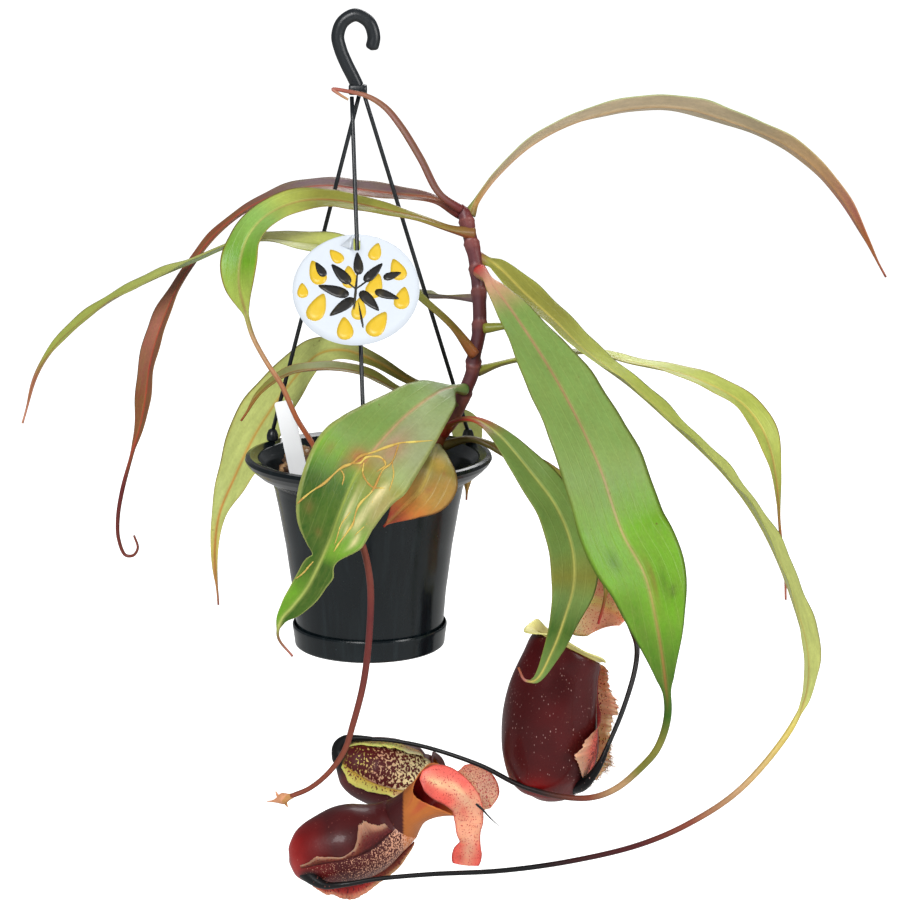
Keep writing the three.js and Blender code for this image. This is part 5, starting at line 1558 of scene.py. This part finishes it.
LID_PAINTS = {
    "pitcher_1_lid": {
        "top": "0 olive, 1 salmon", "under": "0 salmon", "halves": "2 cream, 3.2 salmon",
        "stains_and_highlights": [(1.8, -0.12, 1.8, 0.2, "lemon", 0.95), (2, 0.3, 0.8, 0.2, "coral", 0.3)],
        "rib": "0 coral", "rib_width": 1.5, "rib_strength": 0.5, "edge": "0 lemon, 4 salmon"},
    "pitcher_2_lid": {
        "top": "0 coral, 1 blush, 4 peach", "rib": "0 cream, 4 salmon", "rib_width": 3,
        "rib_strength": 0.35, "edge": "0 coral", "edge_from": 0.8},
    "pitcher_3_lid": {
        "top": "3.2 coral, 4 salmon, 6.8 salmon, 7.4 coral",
        "rib": "0 coral, 1.2 blush, 4 peach, 5 salmon, 7 blush", "rib_width": 3.8,
        "rib_strength": 0.6,
        "stains_and_highlights": [(1.6, 0.1, 0.9, 0.2, "cream", 0.7), (3, -0.2, 0.7, 0.2, "cream", 0.6),
                   (4.4, 0.3, 0.5, 0.3, "coral", 0.6), (7.6, -0.1, 0.9, 0.5, "peach", 0.5),
                   (0.8, 0.6, 0.7, 0.4, "red", 0.4), (8.4, 0.4, 0.4, 0.3, "red", 0.4)],
        "edge": "0 red, 4 coral, 9 red", "edge_from": 0.8},
}

def lid_skin(name):
    """A lid is a short broad blade on its own rib, waved at the edge."""
    grid, tint, _ = leaf_grid(LIDS[name], LID_PAINTS[name], steps=16)
    return skin(grid, tint=tint, fleck=np.full((*grid.shape[:2], 1), LIDS[name]["fleck"]))


print(len(LIDS), "lids")

# %% The third cup's throat
FUNNEL_MIDDLE = [
    [31.2, -62, -463.4], [28.8, -60, -456.8], [31.1, -54, -453.2], [35.2, -46, -453.5],
    [40.6, -38, -460.7], [46.0, -38, -470.3], [44.7, -48, -475.3], [37.1, -58, -473.3]]
FUNNEL_RIM = [
    [34.2, -64, -454.4], [35.6, -62, -445.8], [42.6, -56, -438.7], [47.9, -48, -440.1],
    [54.0, -40, -447.2], [57.6, -38, -460.7], [62.5, -50, -472.5], [52.4, -60, -466.4]]


def looped_line(points, count):
    """A smooth closed line through points, at `count` even places."""
    around = np.array(points[-2:] + points + points[:3])
    return through(around, np.linspace(2, len(points) + 2, count, endpoint=False))


def funnel_skin(spec, turns=160, rows=26, wall=0.9):
    """The long throat of the third cup. Each ring lies between the cup's mouth, a middle line and
    the rim: (1-t)^2 x foot + 2t(1-t) x middle + t^2 x rim. The rim comes back inside the wall."""
    centre, normal, _, _, radius = mouth_of(spec)
    near = unit(np.array([0, -1.0, 0]) + normal * normal[1])
    left = unit(np.cross(near, normal))
    turn = circle(turns)[:, None] + 0.5
    foot = sweep(centre - 1.5 * normal, near, left * np.sign(left[2]), turn, radius + wall)
    middle, rim = looped_line(FUNNEL_MIDDLE, turns), looped_line(FUNNEL_RIM, turns)
    middle = 2 * middle - (foot + rim) / 2
    t = np.linspace(0, 1, rows)[:, None, None]
    outer = (1 - t) ** 2 * foot + 2 * t * (1 - t) * middle + t**2 * rim
    inward = unit(outer.mean(axis=1, keepdims=True) - outer)
    outer = outer - inward * (0.12 * np.sin(40 * turn)[None] * t)
    inner = outer + inward * (wall - 0.35 * t)
    right = outer[..., :1]
    tint_out = towards(INK["orange"], INK["brown"], 0.35 * (1 - t))
    tint_out = towards(0.8 * INK["maroon"], tint_out, smooth(27.8, 28.8, right))
    streaks = smooth(0.2, 0.9, np.sin(9 * turn) * np.sin(5 * turn + 1))[None] * smooth(0.3, 0.8, t)
    tint_out = towards(tint_out, INK["red"], 0.45 * streaks * smooth(28.5, 32, right))
    tint_in = towards(INK["blood"], INK["orange"], smooth(0.6, 1.0, t)) + 0 * inner
    return skin(np.concatenate([outer, inner[::-1]]), looped=True,
                tint=np.concatenate([tint_out, tint_in[::-1]]),
                fleck=np.full((2 * rows, turns, 1), 0.02))


print("the throat's rim is", round(arc_length(looped_line(FUNNEL_RIM, 160))[-1]), "mm round")

# %% Necks, where the tendrils swell into the cups
NECKS = {
    "pitcher_1": [([152.5, -36, -433], 1.5), ([148, -38, -443], 2.1), ([142, -37, -453], 3.0),
                  ([136.5, -31, -460], 4.2), ([130, -22, -463], 5.0)],
    "pitcher_2": [([8, 1, -440.6], 1.2), ([-2, 3, -441], 2.0), ([-9, 6, -443.5], 3.4),
                  ([-12, 8, -449], 5.4), ([-10, 8, -456], 7.0)],
    "pitcher_3": [([11, -75, -504], 1.3), ([-8, -76, -507], 1.7), ([-19, -71.5, -509], 2.6),
                  ([-27, -65, -506.5], 4.4), ([-32, -58, -503], 5.4)],
}


def neck_skin(name):
    """The swollen black end of a tendril, where it runs into its cup: a tube through the points
    whose radius grows from the tendril's to a quarter of the cup's."""
    line, sizes = zip(*NECKS[name])
    grid = tube(line, lambda share: flowing(sizes, share * (len(sizes) - 1.001)), 28, 12)
    return skin(grid, tint=INK["ink"] + 0 * grid, fleck=0 * grid[..., :1])


print(len(NECKS), "necks")

# %% Pitcher materials


def pitcher_paint(name, fleck, speck, specks, gloss, grain=700.0, relief=0.3, **fixed):
    """A material of pitcher skin: the colours of its flecks and specks, how many specks, how
    rough, and how fine the flecks are."""
    return material(name, pitcher_skin, {"Fleck Colour": fleck, "Speck Colour": speck,
                                         "Specks": specks, "Gloss": gloss, "Grain": grain},
                    relief=relief, **fixed)


THIN = {"Subsurface_Weight": 0.3, "Subsurface_Scale": 0.003}
cup_paints = {
    "pitcher_1": pitcher_paint("cup_skin_dark", rgb("pink", 0.8), (0.62, 0.36, 0.33, 1), 0.5, 0.27,
                               1300.0, Specular_IOR_Level=0.15, Coat_Weight=0.12,
                               Coat_Roughness=0.1),
    "pitcher_2": pitcher_paint("cup_skin_flecked", rgb("maroon"), rgb("pink"), 0.5, 0.36, 800.0,
                               Specular_IOR_Level=0.22),
    "pitcher_3": pitcher_paint("cup_skin_red", rgb("pink"), rgb("rose"), 0.4, 0.36, 1400.0,
                               Specular_IOR_Level=0.25, Coat_Weight=0.14, Coat_Roughness=0.12),
}
lip_paint = pitcher_paint("lip_skin", rgb("blood"), rgb("rust"), 0.3, 0.36,
                          Specular_IOR_Level=0.35)
wing_paint = pitcher_paint("wing_skin", rgb("wine"), rgb("rust"), 0.3, 0.65, 900.0, 0.5,
                           Specular_IOR_Level=0.2, **THIN)
lid_paint = pitcher_paint("lid_skin", rgb("red"), rgb("red"), 0.3, 0.34, 1300.0, 0.4, **THIN)

# %% Build the pitchers
for seed, (name, spec) in enumerate(PITCHERS.items(), 3):
    inks = PITCHER_PAINTS[name]
    build(f"{name}_cup_skin", [cup_skin(spec, inks), neck_skin(name)], cup_paints[name],
          [f"{name}_cup"])
    lip = funnel_skin(spec) if name == "pitcher_3" else lip_skin(spec, inks)
    build(f"{name}_lip", [lip], lip_paint, [f"{name}_collar"])
    for side, handed, other_seed in (("left", 1, seed + 10), ("right", -1, seed)):
        build(f"{name}_fringe_{side}", wing_skins(spec, inks, handed, other_seed), wing_paint,
              [f"{name}_wing_{side}"])
    build(f"{name}_lid_skin", [lid_skin(f"{name}_lid")], lid_paint, [f"{name}_lid"])

# %% [markdown]
# ## The dried bud and the spur
# The left tendril ends in a pitcher that dried before it opened: a papery spindle with two small
# flaps. It is a tube whose radius swells and tapers, and the flaps are flat tubes. A thin black
# spur stands behind the third lid.

# %% Bud
bud_paper = material("bud_paper", bark, {"Dark": rgb("ochre"), "Light": rgb("salmon", 0.9)},
                     0.6, 0.0006)
bud = tube([[-37.5, -72, -452.5], [-43, -71, -454.5], [-49, -70, -456.5], [-53, -69, -457]],
           lambda t: 1.5 - 1.2 * t + 2.4 * hump((t - 0.35) / 0.2), 20, 10)
flaps = [tube(line, lambda t: 1.5 * (1 - 0.8 * t), 10, 8) for line in (
    [[-44, -71, -455], [-46.5, -71, -452.5], [-47.5, -71, -450]],
    [[-43, -71, -454.5], [-41.5, -71, -458], [-40.5, -71, -460]])]
build("dried_bud", [skin(bud)] + [skin(flap) for flap in flaps], bud_paper, ["tendril_bud"])

# %% Spur
spur = tube([[72, -56, -463], [75.7, -56, -466.5], [81, -56, -472.5], [86, -56, -477.3]],
            lambda t: 0.95 * (1 - 0.85 * t), 10, 8)
build("pitcher_3_spur", [skin(spur, tint=INK["ink"] + 0 * spur, lay=0 * spur)], stem_skin)
